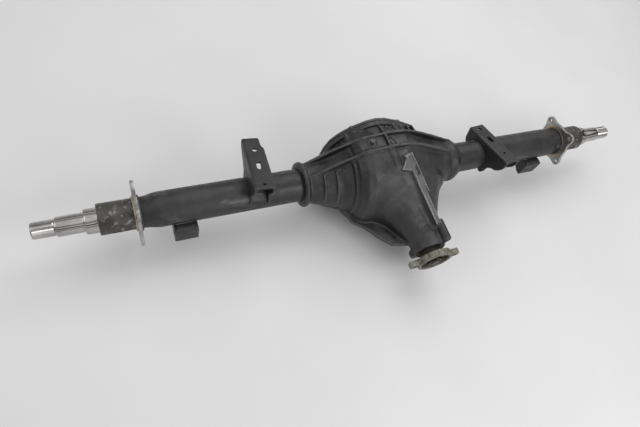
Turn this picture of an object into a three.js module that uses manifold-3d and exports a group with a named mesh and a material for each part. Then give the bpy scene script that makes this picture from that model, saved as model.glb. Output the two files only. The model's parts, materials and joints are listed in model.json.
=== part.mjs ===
// Truck rear axle centre section with its tubes, spindles and a working open differential.
// Units are millimetres. +X runs along the axle, the pinion points to -Y and +Z is up.
// Shapes are drawn about the axle axis and the whole group is set down on z = 0 at the end.
import * as THREE from 'three';
import { mergeVertices } from 'three/addons/utils/BufferGeometryUtils.js';
import Module from 'manifold-3d';

const wasm = await Module();
wasm.setup();

// ---- driving dimensions -------------------------------------------------------------------
const FIT = 0.3; // clearance left between two pieces that touch
const SPINDLE_TIP = 1027; // axle middle to the end of a spindle
const BRAKE_FACE = 768; // axle middle to the outboard face of a brake flange
const HUB_SHOULDER = 865; // axle middle to the shoulder that locates the inner hub bearing
const THREAD_START = 970; // axle middle to the hub nut thread
const TUBE_R = 50.8; // 4 inch axle tube
const TUBE_WALL = 8;
const BASE_DROP = 155.5; // axle axis down to the flat underside of the casting
const SHAFT_BORE_R = 15.5; // free way for an axle shaft
const CAST_LEFT = -286; // ends of the casting along the axle
const CAST_RIGHT = 288;
const PINION_X = 74; // pinion axis, off to the right of the axle middle
const PINION_Z = -30; // hypoid drop of the pinion below the axle axis
const NOSE_Y = -298; // front face of the casting's nose
const NOSE_R = 54;
const FRONT_BEARING_Y = -254; // front face of the outer pinion bearing
const FLANGE_FACE_Y = -338; // drive face of the pinion flange
const RING_TEETH = 41;
const PINION_TEETH = 11;
const RING_R = 140; // 11 inch ring gear
const SIDE_TEETH = 16;
const SPIDER_TEETH = 10;
const DIFF_X = 48; // crossing point of the side gears and spider gears
const COVER_FACE_Y = 90; // rear machined face of the casting
const BEARING_R = 45; // carrier bearing bores
const LEFT_BEARING_X = -48;
const RIGHT_BEARING_X = 113;
const BEARING_W = 24;
const CAP_BOLT_Z = 62; // bearing cap bolts above and below the axle axis
const CAP_BOLT_R = 5;
const CAP_FOOT_Y = 24; // bearing cap split line is at y = 0, its feet end here
const COVER_BOLT_COUNT = 10;
const COVER_OPENING = 0.87; // rear opening and bolt ring as fractions of the cover outline
const COVER_BOLT_RING = 0.92;
const COVER_BOLT_R = 4;
const COVER_FLANGE_T = 9;
const COVER_WALL = 6;
const GASKET_T = 1;
const FILL_PLUG = [96, 160, 16]; // x, rear face of the boss, z
const DRAIN_PLUG = [-34, 132, -102];
const PLUG_R = 11;
const VENT_SPOT = [-76, 14, 0];
const VENT_R = 4;
const SEAL_OUTER = 46;
const SEAL_SEAT_Y = -282; // step behind the seal
const PINION_HEAD = [-142, -102]; // back and front of the pinion teeth
const PINION_STEM_R = 22;
const PINION_SEAT_R = 26; // rear bearing journal of the pinion
const PINION_THREAD_R = 16;
const HUB_R = 34; // pinion flange hub, where the seal runs
const HUB_BACK = -260;
const DRIVE_DISC_R = 58; // pinion flange disc, its recess and its two bolt ears
const DRIVE_RECESS_R = 46;
const DRIVE_RECESS_DEPTH = 15;
const DRIVE_EAR_CIRCLE = 70;
const DRIVE_EAR_R = 14;
const DRIVE_EAR_TURN = 11; // degrees the two ears sit off level
const DRIVE_THICKNESS = 22;
const CASE_HUB_R = 29; // differential case hubs inside the carrier bearings
const CASE_R = 80;
const CASE_FLANGE = [-18, 104]; // ring gear flange: far face along the axle and radius
const PIN_R = 9; // cross pin
const SIDE_PITCH_R = 38;
const SPIDER_PITCH_R = (SIDE_PITCH_R * SPIDER_TEETH) / SIDE_TEETH;
const SEAT_TILT = 14; // degrees from the pinion axis to the spring seats and brake flanges
const SEAT_YAW = 5.7; // degrees the front end of each seat swings outboard
const SEAT_WIDTH = 60;
const SEAT_PLATE = 8;
const SEAT_WALL = 7;
const PERCH_X = 420;
const SHOCK_X = 640;
const BRAKE_FLANGE_T = 10;
const BRAKE_DISC_R = 72;
const BRAKE_EAR_CIRCLE = 78;
const BRAKE_EAR_R = 14;
const BRAKE_BOLT_HOLE_R = 6.5;
const SPINDLE_ROOT_R = 44; // spindle collar inside the brake flange

const radians = THREE.MathUtils.degToRad;
const QUARTERS = [45, 135, 225, 315];
const SIDES = [[-1, 'left'], [1, 'right']];

// ---- solid modelling helpers --------------------------------------------------------------
function signedVolume(vertices, triangles) {
  const a = new THREE.Vector3();
  const b = new THREE.Vector3();
  const c = new THREE.Vector3();
  let sum = 0;
  for (let i = 0; i < triangles.length; i += 3) {
    a.fromArray(vertices, triangles[i] * 3);
    b.fromArray(vertices, triangles[i + 1] * 3);
    c.fromArray(vertices, triangles[i + 2] * 3);
    sum += a.dot(b.cross(c));
  }
  return sum;
}

function solid(geometry) {
  const bare = geometry.clone();
  bare.deleteAttribute('normal');
  bare.deleteAttribute('uv');
  const merged = mergeVertices(bare, 1e-4);
  const vertProperties = Float32Array.from(merged.attributes.position.array);
  const triVerts = Uint32Array.from(merged.index.array);
  if (signedVolume(vertProperties, triVerts) < 0) {
    for (let i = 0; i < triVerts.length; i += 3) {
      [triVerts[i], triVerts[i + 1]] = [triVerts[i + 1], triVerts[i]];
    }
  }
  const kept = [];
  for (let i = 0; i < triVerts.length; i += 3) {
    const [p, q, r] = [triVerts[i], triVerts[i + 1], triVerts[i + 2]];
    if (p !== q && q !== r && r !== p) kept.push(p, q, r);
  }
  const mesh = new wasm.Mesh({ numProp: 3, vertProperties, triVerts: Uint32Array.from(kept) });
  return new wasm.Manifold(mesh);
}

const fuse = (parts) => parts.reduce((whole, part) => whole.add(part));
const cut = (body, tools) => tools.reduce((left, tool) => left.subtract(tool), body);

function box(x0, x1, y0, y1, z0, z1) {
  const geometry = new THREE.BoxGeometry(x1 - x0, y1 - y0, z1 - z0);
  return solid(geometry.translate((x0 + x1) / 2, (y0 + y1) / 2, (z0 + z1) / 2));
}

// A closed [along, radius] outline turned about an axis parallel to X, Y or Z.
function turned(axis, outline, segments = 32, centre = [0, 0, 0]) {
  const points = outline.map(([along, radius]) => new THREE.Vector2(radius, along));
  points.push(points[0].clone());
  const geometry = new THREE.LatheGeometry(points, segments);
  if (axis === 'x') geometry.rotateZ(-Math.PI / 2);
  if (axis === 'z') geometry.rotateX(Math.PI / 2);
  return solid(geometry.translate(...centre));
}

// A solid of revolution whose outline starts and ends on the axis.
const rod = (axis, outline, segments, centre) =>
  turned(axis, [[outline[0][0], 0], ...outline, [outline.at(-1)[0], 0]], segments, centre);

const cylinder = (axis, from, to, radius, segments, centre) =>
  rod(axis, [[from, radius], [to, radius]], segments, centre);

const ring = (axis, from, to, inner, outer, segments, centre) =>
  turned(axis, [[from, inner], [from, outer], [to, outer], [to, inner]], segments, centre);

// A flat outline in the plane square to `axis`, between two positions along that axis.
// Points are [y, z] for 'x', [x, z] for 'y' and [x, y] for 'z'.
const [EX, EY, EZ] = [[1, 0, 0], [0, 1, 0], [0, 0, 1]].map((v) => new THREE.Vector3(...v));
const PLATE_BASIS = { x: [EY, EZ, EX], y: [EX, EZ, EY], z: [EX, EY, EZ] };

function plate(axis, points, from, to) {
  const shape = new THREE.Shape(points.map(([u, v]) => new THREE.Vector2(u, v)));
  const geometry = new THREE.ExtrudeGeometry(shape, { depth: to - from, bevelEnabled: false });
  geometry.translate(0, 0, from);
  return solid(geometry.applyMatrix4(new THREE.Matrix4().makeBasis(...PLATE_BASIS[axis])));
}

function polar(radius, angle, cx = 0, cy = 0) {
  return [cx + radius * Math.cos(angle), cy + radius * Math.sin(angle)];
}

const alongY = ([x, z]) => [x, 0, z]; // places a turned body whose axis is parallel to Y
const mirrored = (body, side) => (side < 0 ? body.mirror([1, 0, 0]) : body);

// Equal cylinders along Y at a list of [x, z] spots.
const drilled = (spots, from, to, radius, segments) =>
  spots.map((spot) => cylinder('y', from, to, radius, segments, alongY(spot)));

const group = new THREE.Group();
group.name = 'differential_gear_assembly';

function add(name, body, color, roughness, metalness) {
  const mesh = body.getMesh();
  const geometry = new THREE.BufferGeometry();
  const position = Float32Array.from(mesh.vertProperties);
  geometry.setAttribute('position', new THREE.BufferAttribute(position, 3));
  geometry.setIndex(new THREE.BufferAttribute(Uint32Array.from(mesh.triVerts), 1));
  geometry.computeVertexNormals();
  const material = new THREE.MeshStandardMaterial({ color, roughness, metalness });
  const part = new THREE.Mesh(geometry, material);
  part.name = name;
  group.add(part);
}

const PAINT = ['#3a3b3e', 0.45, 0.35];
const BRACKET_PAINT = ['#343836', 0.5, 0.35];
const MACHINED = ['#b9babb', 0.28, 1.0];
const PLATE_STEEL = ['#9b9c9c', 0.45, 0.9];
const GEAR_STEEL = ['#7d7f82', 0.35, 1.0];
const BEARING_STEEL = ['#a9acb0', 0.22, 1.0];
const FLANGE_STEEL = ['#8f8f80', 0.5, 0.85];
const FASTENER = ['#55575a', 0.4, 0.9];
const SEAL_RUBBER = ['#1d1d1e', 0.75, 0.0];
const GASKET = ['#2a2f3a', 0.8, 0.0];

// ---- carrier housing ----------------------------------------------------------------------
const NOSE_AXIS = [PINION_X, 0, PINION_Z];
const COVER_OUTLINE = [
  [176, 0], [172, 34], [160, 60], [126, 96], [56, 134], [4, 154], [-30, 160], [-62, 153],
  [-110, 131], [-140, 107], [-164, 76], [-176, 36], [-179, 0], [-174, -42], [-156, -84],
  [-118, -122], [-62, -155.5], [56, -155.5], [112, -112], [154, -68], [172, -32],
];
const coverScaled = (factor) => COVER_OUTLINE.map(([x, z]) => [x * factor, z * factor]);
const coverBoltSpots = Array.from({ length: COVER_BOLT_COUNT }, (_, i) => {
  const angle = ((i + 0.5) / COVER_BOLT_COUNT) * 2 * Math.PI;
  const ahead = COVER_OUTLINE.map(([x, z]) => Math.cos(Math.atan2(z, x) - angle));
  const [x, z] = COVER_OUTLINE[ahead.indexOf(Math.max(...ahead))];
  return [x * COVER_BOLT_RING, z * COVER_BOLT_RING];
});

const capBoltSpots = [LEFT_BEARING_X, RIGHT_BEARING_X].flatMap((x) =>
  [[x, CAP_BOLT_Z], [x, -CAP_BOLT_Z]]);

// Half outline of the casting about the axle, with a raised collar at each end for the tubes.
const CAST_PROFILE = [
  [CAST_LEFT, 56], [CAST_LEFT + 4, 68], [-278, 71], [-271, 71], [-265, 63], [-169, 92], [-150, 112],
  [-132, 144], [-110, 156], [44, 156], [70, 146], [100, 126], [136, 106], [165, 92], [215, 78],
  [240, 71], [270, 71], [282, 64], [CAST_RIGHT, 55],
];
const SNOUT_PROFILE = [
  [-20, 120], [-91, 128], [-128, 100], [-155, 86], [-185, 72], [-208, 64], [-230, 57],
  [-250, NOSE_R], [NOSE_Y, NOSE_R],
];
const FLANK_PROFILE = [
  [-20, 120], [-91, 132], [-128, 114], [-155, 97], [-185, 78], [-208, 63], [-230, 48], [-258, 30],
];
const FLANK_AXIS = [46, 0, -24]; // the fuller left side of the snout
const TOP_RIB = [
  [-268, 58], [-230, 84], [-182, 118], [-100, 158], [-12, 170], [39, 168], [85, 155], [128, 136],
  [206, 96], [262, 66],
];

// Two thin ribs run over the top and under the belly, with a lower filled band between them.
function castRibs() {
  const rootZ = 20;
  const bandLine = TOP_RIB.map(([x, z]) => [x * 0.97, z - 18]);
  const upperBodies = [[-17, -9, TOP_RIB], [32, 40, TOP_RIB], [-8, 36, bandLine]].map(
    ([from, to, line]) => plate('y', [...line, [line.at(-1)[0], rootZ], [line[0][0], rootZ]], from, to));
  return upperBodies.flatMap((upper) => [upper, upper.mirror([0, 0, 1]).scale([1, 1, 0.92])]);
}

// The straight web that falls from the top of the bulge to the lug on the pinion nose.
function snoutRib() {
  const outline = [[16, 140], [0, 159], [-207, 42], [-207, -20], [16, -20]];
  return plate('x', outline, -10, 10).rotate([0, 0, 22]).translate([22, -48, 0]);
}

// The level web between the left arm and the pinion nose.
function lowerRib() {
  const outline = [
    [-214, -60], [-157, -90], [-138, -143], [-105, -168], [-77, -205], [-36, -248], [16, -257],
    [70, -257], [70, -60],
  ];
  return plate('z', outline, -54, -42);
}

// Two cast lugs on the nose: a long one at the end of the web and a short one low on the left.
function noseLugs() {
  return [[66, 55, -296, -224, 15], [52, 215, NOSE_Y, -274, 14]].map(
    ([circle, angle, from, to, radius]) => {
      const [x, z] = polar(circle, radians(angle), PINION_X, PINION_Z);
      return cylinder('y', from, to, radius, 14, [x, 0, z]);
    });
}

// A level pad on the bulge for the breather.
function ventPad() {
  return cylinder('z', 120, 158, 13, 14, VENT_SPOT);
}

function housingHollows() {
  const [webLeft, webRight] = [LEFT_BEARING_X, RIGHT_BEARING_X];
  const half = BEARING_W / 2 + 1;
  return [
    rod('x', [[webLeft + half, 147], [50, 147], [72, 136], [webRight - half, 112]], 28),
    rod('x', [[-150, 50], [-138, 92], [-120, 130], [webLeft - half, 147]], 20),
    rod('x', [[webRight + half, 104], [150, 88], [180, 72], [184, 46]], 20),
    cylinder('x', -170, 200, 43, 20),
    cylinder('x', webLeft - half - 1, webLeft + half + 1, BEARING_R, 28),
    cylinder('x', webRight - half - 1, webRight + half + 1, BEARING_R, 28),
    cylinder('x', CAST_LEFT - 1, -158, TUBE_R + FIT, 28),
    cylinder('x', 192, CAST_RIGHT + 1, TUBE_R + FIT, 28),
    cylinder('y', -181, -60, 52, 28, NOSE_AXIS),
    cylinder('y', -228, -180, 38, 20, NOSE_AXIS),
    cylinder('y', SEAL_SEAT_Y - 1, -227, 42, 28, NOSE_AXIS),
    cylinder('y', NOSE_Y - 1, SEAL_SEAT_Y, SEAL_OUTER + FIT, 28, NOSE_AXIS),
    plate('y', coverScaled(COVER_OPENING), 0, COVER_FACE_Y + 1),
    ...[webLeft, webRight].map((x) =>
      box(x - half, x + half, 0, 65, -CAP_BOLT_Z - 13, CAP_BOLT_Z + 13)),
  ];
}

function carrierHousing() {
  const body = fuse([
    turned('x', [[CAST_LEFT, 0], ...CAST_PROFILE, [CAST_RIGHT, 0]], 36),
    rod('y', SNOUT_PROFILE, 28, NOSE_AXIS),
    rod('y', FLANK_PROFILE, 28, FLANK_AXIS),
    plate('y', coverScaled(0.95), 0, COVER_FACE_Y - 12),
    plate('y', COVER_OUTLINE, COVER_FACE_Y - 14, COVER_FACE_Y),
    ...castRibs(),
    snoutRib(),
    lowerRib(),
    ventPad(),
    ...noseLugs(),
  ]);
  const beyond = 400; // past every face of the casting
  return cut(body, [
    ...housingHollows(),
    ...drilled(coverBoltSpots, 66, COVER_FACE_Y + 1, COVER_BOLT_R + FIT, 8),
    ...drilled(capBoltSpots, -40, 1, CAP_BOLT_R + FIT, 8),
    cylinder('z', 120, 175, VENT_R + FIT, 8, VENT_SPOT),
    box(-beyond, beyond, -beyond, beyond, -beyond, -BASE_DROP),
    box(-beyond, beyond, COVER_FACE_Y, beyond, -beyond, beyond),
  ]);
}

// ---- bearing caps -------------------------------------------------------------------------
function bearingCap(x) {
  const half = BEARING_W / 2 - 1;
  const reach = CAP_BOLT_Z + 11;
  const arch = cylinder('x', x - half, x + half, BEARING_R + 12, 28);
  const feet = box(x - half, x + half, FIT, CAP_FOOT_Y, -reach, reach);
  const bore = cylinder('x', x - half - 1, x + half + 1, BEARING_R, 28);
  const spots = [[x, CAP_BOLT_Z], [x, -CAP_BOLT_Z]];
  const holes = drilled(spots, -1, CAP_FOOT_Y + 1, CAP_BOLT_R + FIT, 8);
  const otherHalf = box(x - BEARING_W, x + BEARING_W, -2 * reach, FIT, -2 * reach, 2 * reach);
  return cut(fuse([arch, feet]), [otherHalf, bore, ...holes]);
}

// A hex bolt lying along Y, its head on the side of `seat` away from `shankEnd`.
function bolt(x, z, seat, shankEnd, shankR, headR, headHeight) {
  const toward = Math.sign(seat - shankEnd);
  const [under, top] = [seat + toward * FIT, seat + toward * (headHeight + FIT)];
  const head = cylinder('y', under, top, headR, 6, [x, 0, z]);
  const shank = cylinder('y', shankEnd, seat + toward * headHeight * 0.5, shankR, 8, [x, 0, z]);
  return fuse([head, shank]);
}

// ---- run-through pieces on the axle axis ----------------------------------------------------
function axleTube(side, inner) {
  const end = BRAKE_FACE - 12.5;
  const outline = [
    [inner, TUBE_R - TUBE_WALL], [inner, TUBE_R], [712, TUBE_R], [736, 45], [end, SPINDLE_ROOT_R],
    [end, 36], [730, 37], [700, TUBE_R - TUBE_WALL],
  ];
  return mirrored(turned('x', outline, 28), side);
}

function spindle(side) {
  const start = BRAKE_FACE - 12;
  const outline = [
    [start, SHAFT_BORE_R], [start, SPINDLE_ROOT_R], [HUB_SHOULDER - 2, SPINDLE_ROOT_R],
    [HUB_SHOULDER, 42],
    [HUB_SHOULDER, 35], [897, 34.5], [899, 27.5], [THREAD_START - 3, 27], [THREAD_START - 2, 22],
    [THREAD_START, 22], [THREAD_START + 1, 23], [SPINDLE_TIP - 2, 22.5], [SPINDLE_TIP, 21],
    [SPINDLE_TIP, SHAFT_BORE_R],
  ];
  const keyway = box(THREAD_START + 4, SPINDLE_TIP + 1, -4, 4, 19, 30);
  const flat = box(786, 832, -60, -41, -12, 24);
  return mirrored(turned('x', outline, 24).subtract(keyway).subtract(flat), side);
}

function brakeFlange(side) {
  const [from, to] = [BRAKE_FACE - BRAKE_FLANGE_T, BRAKE_FACE];
  const centres = QUARTERS.map((angle) => [0, ...polar(BRAKE_EAR_CIRCLE, radians(angle - SEAT_TILT))]);
  const ears = centres.map((centre) => cylinder('x', from, to, BRAKE_EAR_R, 12, centre));
  const holes = centres.map((centre) => cylinder('x', from - 1, to + 1, BRAKE_BOLT_HOLE_R, 8, centre));
  const bore = cylinder('x', from - 1, to + 1, SPINDLE_ROOT_R + FIT, 24);
  const disc = cylinder('x', from, to, BRAKE_DISC_R, 24);
  return mirrored(cut(fuse([disc, ...ears]), [bore, ...holes]), side);
}

// ---- brackets on the tubes ----------------------------------------------------------------
// The tall left seat stands on straight legs. The low right one wraps round the front of its tube.
const TALL_WALL = [
  [112, 118], [112, 94], [56, 44], [58, 2], [-58, 2], [-56, 44], [-98, 94], [-98, 118],
];
const LOW_WALL = [
  [70, 72], [72, 24], [58, 2], [20, -6], [-20, -30], [-44, -44], [-58, -30], [-66, -4],
  [-82, 8], [-100, 12], [-118, 30], [-128, 48], [-128, 72],
];

function springPerch(side, wall, rearHoleY) {
  const half = SEAT_WIDTH / 2;
  const [[back, seat], [front]] = [wall[0], wall.at(-1)];
  const walls = [-half, half - SEAT_WALL].map((from) => plate('x', wall, from, from + SEAT_WALL));
  const web = box(-half, half, front, back, seat - SEAT_PLATE, seat);
  const [under, over] = [seat - SEAT_PLATE - 1, seat + 1];
  const holes = [
    cylinder('z', under, over, 7, 14, [0, rearHoleY, 0]),
    cylinder('z', under, over, 5, 14, [0, -82, 0]),
    box(-7, 7, -22, 8, under, over),
  ];
  const channel = cut(fuse([web, ...walls]), holes).rotate([0, 0, side * SEAT_YAW]);
  const tubeSpace = cylinder('x', -SEAT_WIDTH, SEAT_WIDTH, TUBE_R + FIT, 28);
  return channel.subtract(tubeSpace).rotate([-SEAT_TILT, 0, 0]).translate([side * PERCH_X, 0, 0]);
}

function shockBracket(side) {
  const half = 34;
  const [wallT, faceT] = [6, 7];
  const [faceY, backY, topZ, bottomZ] = [-70, -8, -22, -88];
  const wall = [[faceY, topZ], [faceY, bottomZ], [faceY + 14, bottomZ], [backY, -58], [backY, topZ]];
  const walls = [-half, half - wallT].map((from) => plate('x', wall, from, from + wallT));
  const face = box(-half, half, faceY, faceY + faceT, bottomZ, topZ);
  const shelf = box(-half, half, faceY, backY, topZ - faceT, topZ);
  const tubeSpace = cylinder('x', -half - 1, half + 1, TUBE_R + FIT, 28);
  return fuse([face, shelf, ...walls]).subtract(tubeSpace).translate([side * SHOCK_X, 0, 0]);
}

// ---- rear cover -----------------------------------------------------------------------------
const PLUGS = [FILL_PLUG, DRAIN_PLUG];
const COVER_SEAT = COVER_FACE_Y + GASKET_T + 2 * FIT;
const COVER_BACK = COVER_SEAT + COVER_FLANGE_T;

// The cover bulges round the ring gear: a body of revolution about the axle, trimmed to the rim.
const BULGE = [
  [-148, 60], [-112, 126], [-72, RING_R + 12], [92, RING_R + 12], [128, 122], [156, 60],
];
const bulge = (grow, outlineScale, from) =>
  rod('x', BULGE.map(([x, radius]) => [x + Math.sign(x) * grow, radius + grow]), 28)
    .intersect(plate('y', coverScaled(outlineScale), from, 200));

function coverFins() {
  const finHeight = 7;
  const blank = bulge(finHeight, 0.84, COVER_SEAT + 4);
  return [-96, -64, -32, 0, 32, 64, 96].map((x) => {
    const reach = 122 - Math.abs(x) * 0.35;
    return box(x - 3, x + 3, COVER_SEAT, 200, -reach, reach).intersect(blank);
  });
}

function rearCover() {
  const bosses = PLUGS.map(([x, back, z]) => cylinder('y', COVER_SEAT, back, 19, 16, [x, 0, z]));
  const flange = plate('y', COVER_OUTLINE, COVER_SEAT, COVER_BACK);
  const shell = fuse([flange, bulge(0, 0.85, COVER_SEAT), ...coverFins(), ...bosses]);
  const plugHoles = PLUGS.map(([x, back, z]) =>
    cylinder('y', COVER_SEAT - 1, back + 1, PLUG_R + FIT, 14, [x, 0, z]));
  const boltHoles = drilled(coverBoltSpots, COVER_SEAT - 1, COVER_BACK + 1, COVER_BOLT_R + FIT, 8);
  return cut(shell, [bulge(-COVER_WALL, 0.8, COVER_SEAT - 1), ...plugHoles, ...boltHoles]);
}

function coverGasket() {
  const [from, to] = [COVER_FACE_Y + FIT, COVER_FACE_Y + FIT + GASKET_T];
  const opening = plate('y', coverScaled(COVER_OPENING + 0.01), from - 1, to + 1);
  const holes = drilled(coverBoltSpots, from - 1, to + 1, COVER_BOLT_R + FIT, 8);
  return cut(plate('y', coverScaled(0.99), from, to), [opening, ...holes]);
}

function plug([x, back, z]) {
  const square = box(x - 6, x + 6, back + 3, back + 9, z - 6, z + 6);
  return fuse([cylinder('y', back - 14, back + 3.5, PLUG_R, 14, [x, 0, z]), square]);
}

function breatherVent() {
  const stem = cylinder('z', 140, 164, VENT_R, 8, VENT_SPOT);
  return fuse([stem, cylinder('z', 160, 169, 8, 12, VENT_SPOT)]);
}

// ---- rolling bearings -----------------------------------------------------------------------
// A cup with a tapered track. `open` is 1 when the wide end of the track is on the + side.
function cup(axis, from, to, outer, small, wide, open, centre) {
  const [first, last] = open > 0 ? [small, wide] : [wide, small];
  return turned(axis, [[from, first], [from, outer], [to, outer], [to, last]], 28, centre);
}

// The cone, rollers and cage turn together as one ring between the bore and the track.
function cone(axis, from, to, bore, small, wide, open, centre) {
  const [first, last] = open > 0 ? [small, wide] : [wide, small];
  return turned(axis, [
    [from, bore], [from, first - 5], [from + 3, first - 1], [to - 3, last - 1], [to, last - 5], [to, bore],
  ], 24, centre);
}

// ---- pinion line ----------------------------------------------------------------------------
// Ring and pinion share the pitch cones that roll on each other with their tips at the crossing.
const CONE_SLOPE = PINION_TEETH / RING_TEETH;

// One straight tooth between two stations. A station is [along, base height, tip height, half
// width at the base, half width at the tip]; `place` turns [width, along, height] into x, y, z.
const TOOTH_FACES = [[0, 1, 2, 3], [7, 6, 5, 4], [0, 4, 5, 1], [1, 5, 6, 2], [2, 6, 7, 3], [3, 7, 4, 0]];

function tooth(stations, place) {
  const corners = stations.flatMap(([along, base, tip, wide, narrow]) => [
    [-wide, along, base], [-narrow, along, tip], [narrow, along, tip], [wide, along, base],
  ]);
  const position = TOOTH_FACES.flatMap(([a, b, c, d]) =>
    [a, b, c, a, c, d].flatMap((k) => place(corners[k])));
  const geometry = new THREE.BufferGeometry();
  geometry.setAttribute('position', new THREE.Float32BufferAttribute(position, 3));
  geometry.setIndex([...Array(position.length / 3).keys()]);
  return solid(geometry);
}

function pinionShaft() {
  const [back, front] = PINION_HEAD;
  const pitch = (y) => -y * CONE_SLOPE;
  const toothAt = (y) => {
    const width = (2 * Math.PI * pitch(y)) / PINION_TEETH;
    return [y, pitch(y) - 6.5, pitch(y) + 3.5, width * 0.3, width * 0.1];
  };
  const first = tooth([toothAt(back), toothAt(front)], ([w, along, h]) => [-h, along, w]);
  const teeth = Array.from({ length: PINION_TEETH }, (_, i) =>
    first.rotate([0, (i * 360) / PINION_TEETH, 0]));
  const [shoulder, splineEnd] = [-180, FLANGE_FACE_Y + DRIVE_THICKNESS - 2];
  const backFace = back - 4.5;
  const core = rod('y', [
    [FLANGE_FACE_Y - 4, PINION_THREAD_R - 2], [FLANGE_FACE_Y - 2, PINION_THREAD_R],
    [splineEnd - 1, PINION_THREAD_R], [splineEnd, PINION_STEM_R], [shoulder - 1, PINION_STEM_R],
    [shoulder, PINION_SEAT_R], [backFace, PINION_SEAT_R], [backFace, PINION_SEAT_R + 8],
    [back, PINION_SEAT_R + 8], [back, pitch(back) - 5.5], [front, pitch(front) - 5.5],
    [front + 3, 18],
  ], 22);
  return fuse([core, ...teeth]).translate(NOSE_AXIS);
}

function pinionFlange() {
  const [face, back] = [FLANGE_FACE_Y, FLANGE_FACE_Y + DRIVE_THICKNESS];
  const earSpots = [0, 180].map((turn) => polar(DRIVE_EAR_CIRCLE, radians(DRIVE_EAR_TURN + turn)));
  const scallopSpots = Array.from({ length: 12 }, (_, i) => polar(62, radians((i + 0.5) * 30)));
  const scallops = drilled(scallopSpots, face + 8, back + 1, 7, 8);
  const disc = cut(cylinder('y', face, back, DRIVE_DISC_R, 36), scallops);
  const hub = cylinder('y', back - 1, HUB_BACK, HUB_R, 24);
  const body = fuse([disc, ...drilled(earSpots, face + 4, back, DRIVE_EAR_R, 14), hub]);
  return cut(body, [
    cylinder('y', face - 1, face + DRIVE_RECESS_DEPTH, DRIVE_RECESS_R, 28),
    cylinder('y', face, HUB_BACK + 1, PINION_STEM_R + FIT, 22),
    ...drilled(earSpots, face - 1, back + 1, 5.5, 10),
  ]).translate(NOSE_AXIS);
}

function pinionNut() {
  const [from, to] = [FLANGE_FACE_Y, FLANGE_FACE_Y + DRIVE_RECESS_DEPTH - FIT];
  const nut = fuse([cylinder('y', from, to, 25, 6), cylinder('y', to - 4, to, 30, 20)]);
  const threadHole = cylinder('y', from - 1, to + 1, PINION_THREAD_R + FIT, 22);
  return nut.subtract(threadHole).translate(NOSE_AXIS);
}

// ---- ring gear and differential ---------------------------------------------------------------
function ringGear() {
  const pitchX = (y) => PINION_X - y * CONE_SLOPE; // pitch cone, measured along the pinion
  const drop = -PINION_Z;
  const [inner, outer] = [108, RING_R];
  const along = (radius) => Math.sqrt(radius * radius - drop * drop);
  const [yIn, yOut] = [along(inner), along(outer)];
  const rootX = (y) => pitchX(y) - 4.5;
  const body = turned('x', [
    [FIT, CASE_R + 1], [FIT, outer - 3], [4, outer], [rootX(yOut), outer], [rootX(yIn), inner],
    [rootX(yIn) - 6, CASE_R + 4], [rootX(yIn) - 16, CASE_R + 1],
  ], 41);
  const toothAt = (y) => {
    const width = (2 * Math.PI * y) / RING_TEETH;
    return [y, rootX(y) - 1, pitchX(y) + 3, width * 0.27, width * 0.1];
  };
  // Tooth flanks run parallel to the pinion where they mesh, offset by the hypoid drop.
  const first = tooth([toothAt(yIn + 1), toothAt(yOut - 1)], ([w, reach, h]) => [h, -reach, w - drop]);
  const teeth = Array.from({ length: RING_TEETH }, (_, i) =>
    first.rotate([((i + 0.5) * 360) / RING_TEETH, 0, 0]));
  return fuse([body, ...teeth]);
}

// The case flange takes the back of the ring gear at x = 0.
function differentialCase() {
  const [hubLeft, hubRight] = [LEFT_BEARING_X - 16, RIGHT_BEARING_X + 16];
  const [flangeX, flangeR] = CASE_FLANGE;
  const body = turned('x', [
    [hubLeft, 20], [hubLeft, CASE_HUB_R], [-28, CASE_HUB_R], [-25, 56], [flangeX, 66],
    [flangeX, flangeR], [0, flangeR], [0, CASE_R], [84, CASE_R], [94, 66], [98, CASE_HUB_R],
    [hubRight, CASE_HUB_R], [hubRight, 20],
  ], 28);
  const chamber = rod('x', [
    [DIFF_X - 42, 44], [DIFF_X - 34, 60], [DIFF_X + 34, 60], [DIFF_X + 42, 44],
  ], 28);
  const windows = box(DIFF_X - 27, DIFF_X + 27, -32, 32, -100, 100);
  const pin = cylinder('y', -100, 100, PIN_R + FIT, 16, [DIFF_X, 0, 0]);
  return cut(body, [chamber, windows, pin]);
}

// A straight bevel gear about +Z with its pitch cone tip at the origin and its back upwards.
function bevelGear(teeth, radius, distance, back, bore) {
  const near = 0.68; // inner end of the face width
  const toothAt = (scale) => {
    const width = (2 * Math.PI * radius * scale) / teeth;
    return [distance * scale, radius * scale - 3, radius * scale + 1.4, width * 0.245, width * 0.08];
  };
  const first = tooth([toothAt(1), toothAt(near)], ([w, along, h]) => [h, w, along]);
  const others = Array.from({ length: teeth }, (_, i) => first.rotate([0, 0, (i * 360) / teeth]));
  const blank = rod('z', [
    [distance * near, radius * near - 2.6], [distance, radius - 2.2], [distance + back, radius - 6],
  ], 20);
  return cut(fuse([blank, ...others]), [cylinder('z', 0, distance + back + 1, bore, 18)]);
}

// Turns a body built about +Z so that +Z becomes `up` and +X becomes `side`.
function pointed(body, up, side) {
  const across = new THREE.Vector3().crossVectors(up, side);
  return body.transform(new THREE.Matrix4().makeBasis(side, across, up).toArray());
}

function sideGear(direction) {
  const gear = bevelGear(SIDE_TEETH, SIDE_PITCH_R, SPIDER_PITCH_R, 14, SHAFT_BORE_R);
  return pointed(gear, EX.clone().multiplyScalar(direction), EY).translate([DIFF_X, 0, 0]);
}

function spiderGear(direction) {
  const gear = bevelGear(SPIDER_TEETH, SPIDER_PITCH_R, SIDE_PITCH_R, 9, PIN_R + FIT);
  const gapAhead = gear.rotate([0, 0, 180 / SPIDER_TEETH]);
  return pointed(gapAhead, EY.clone().multiplyScalar(direction), EX).translate([DIFF_X, 0, 0]);
}

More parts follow.
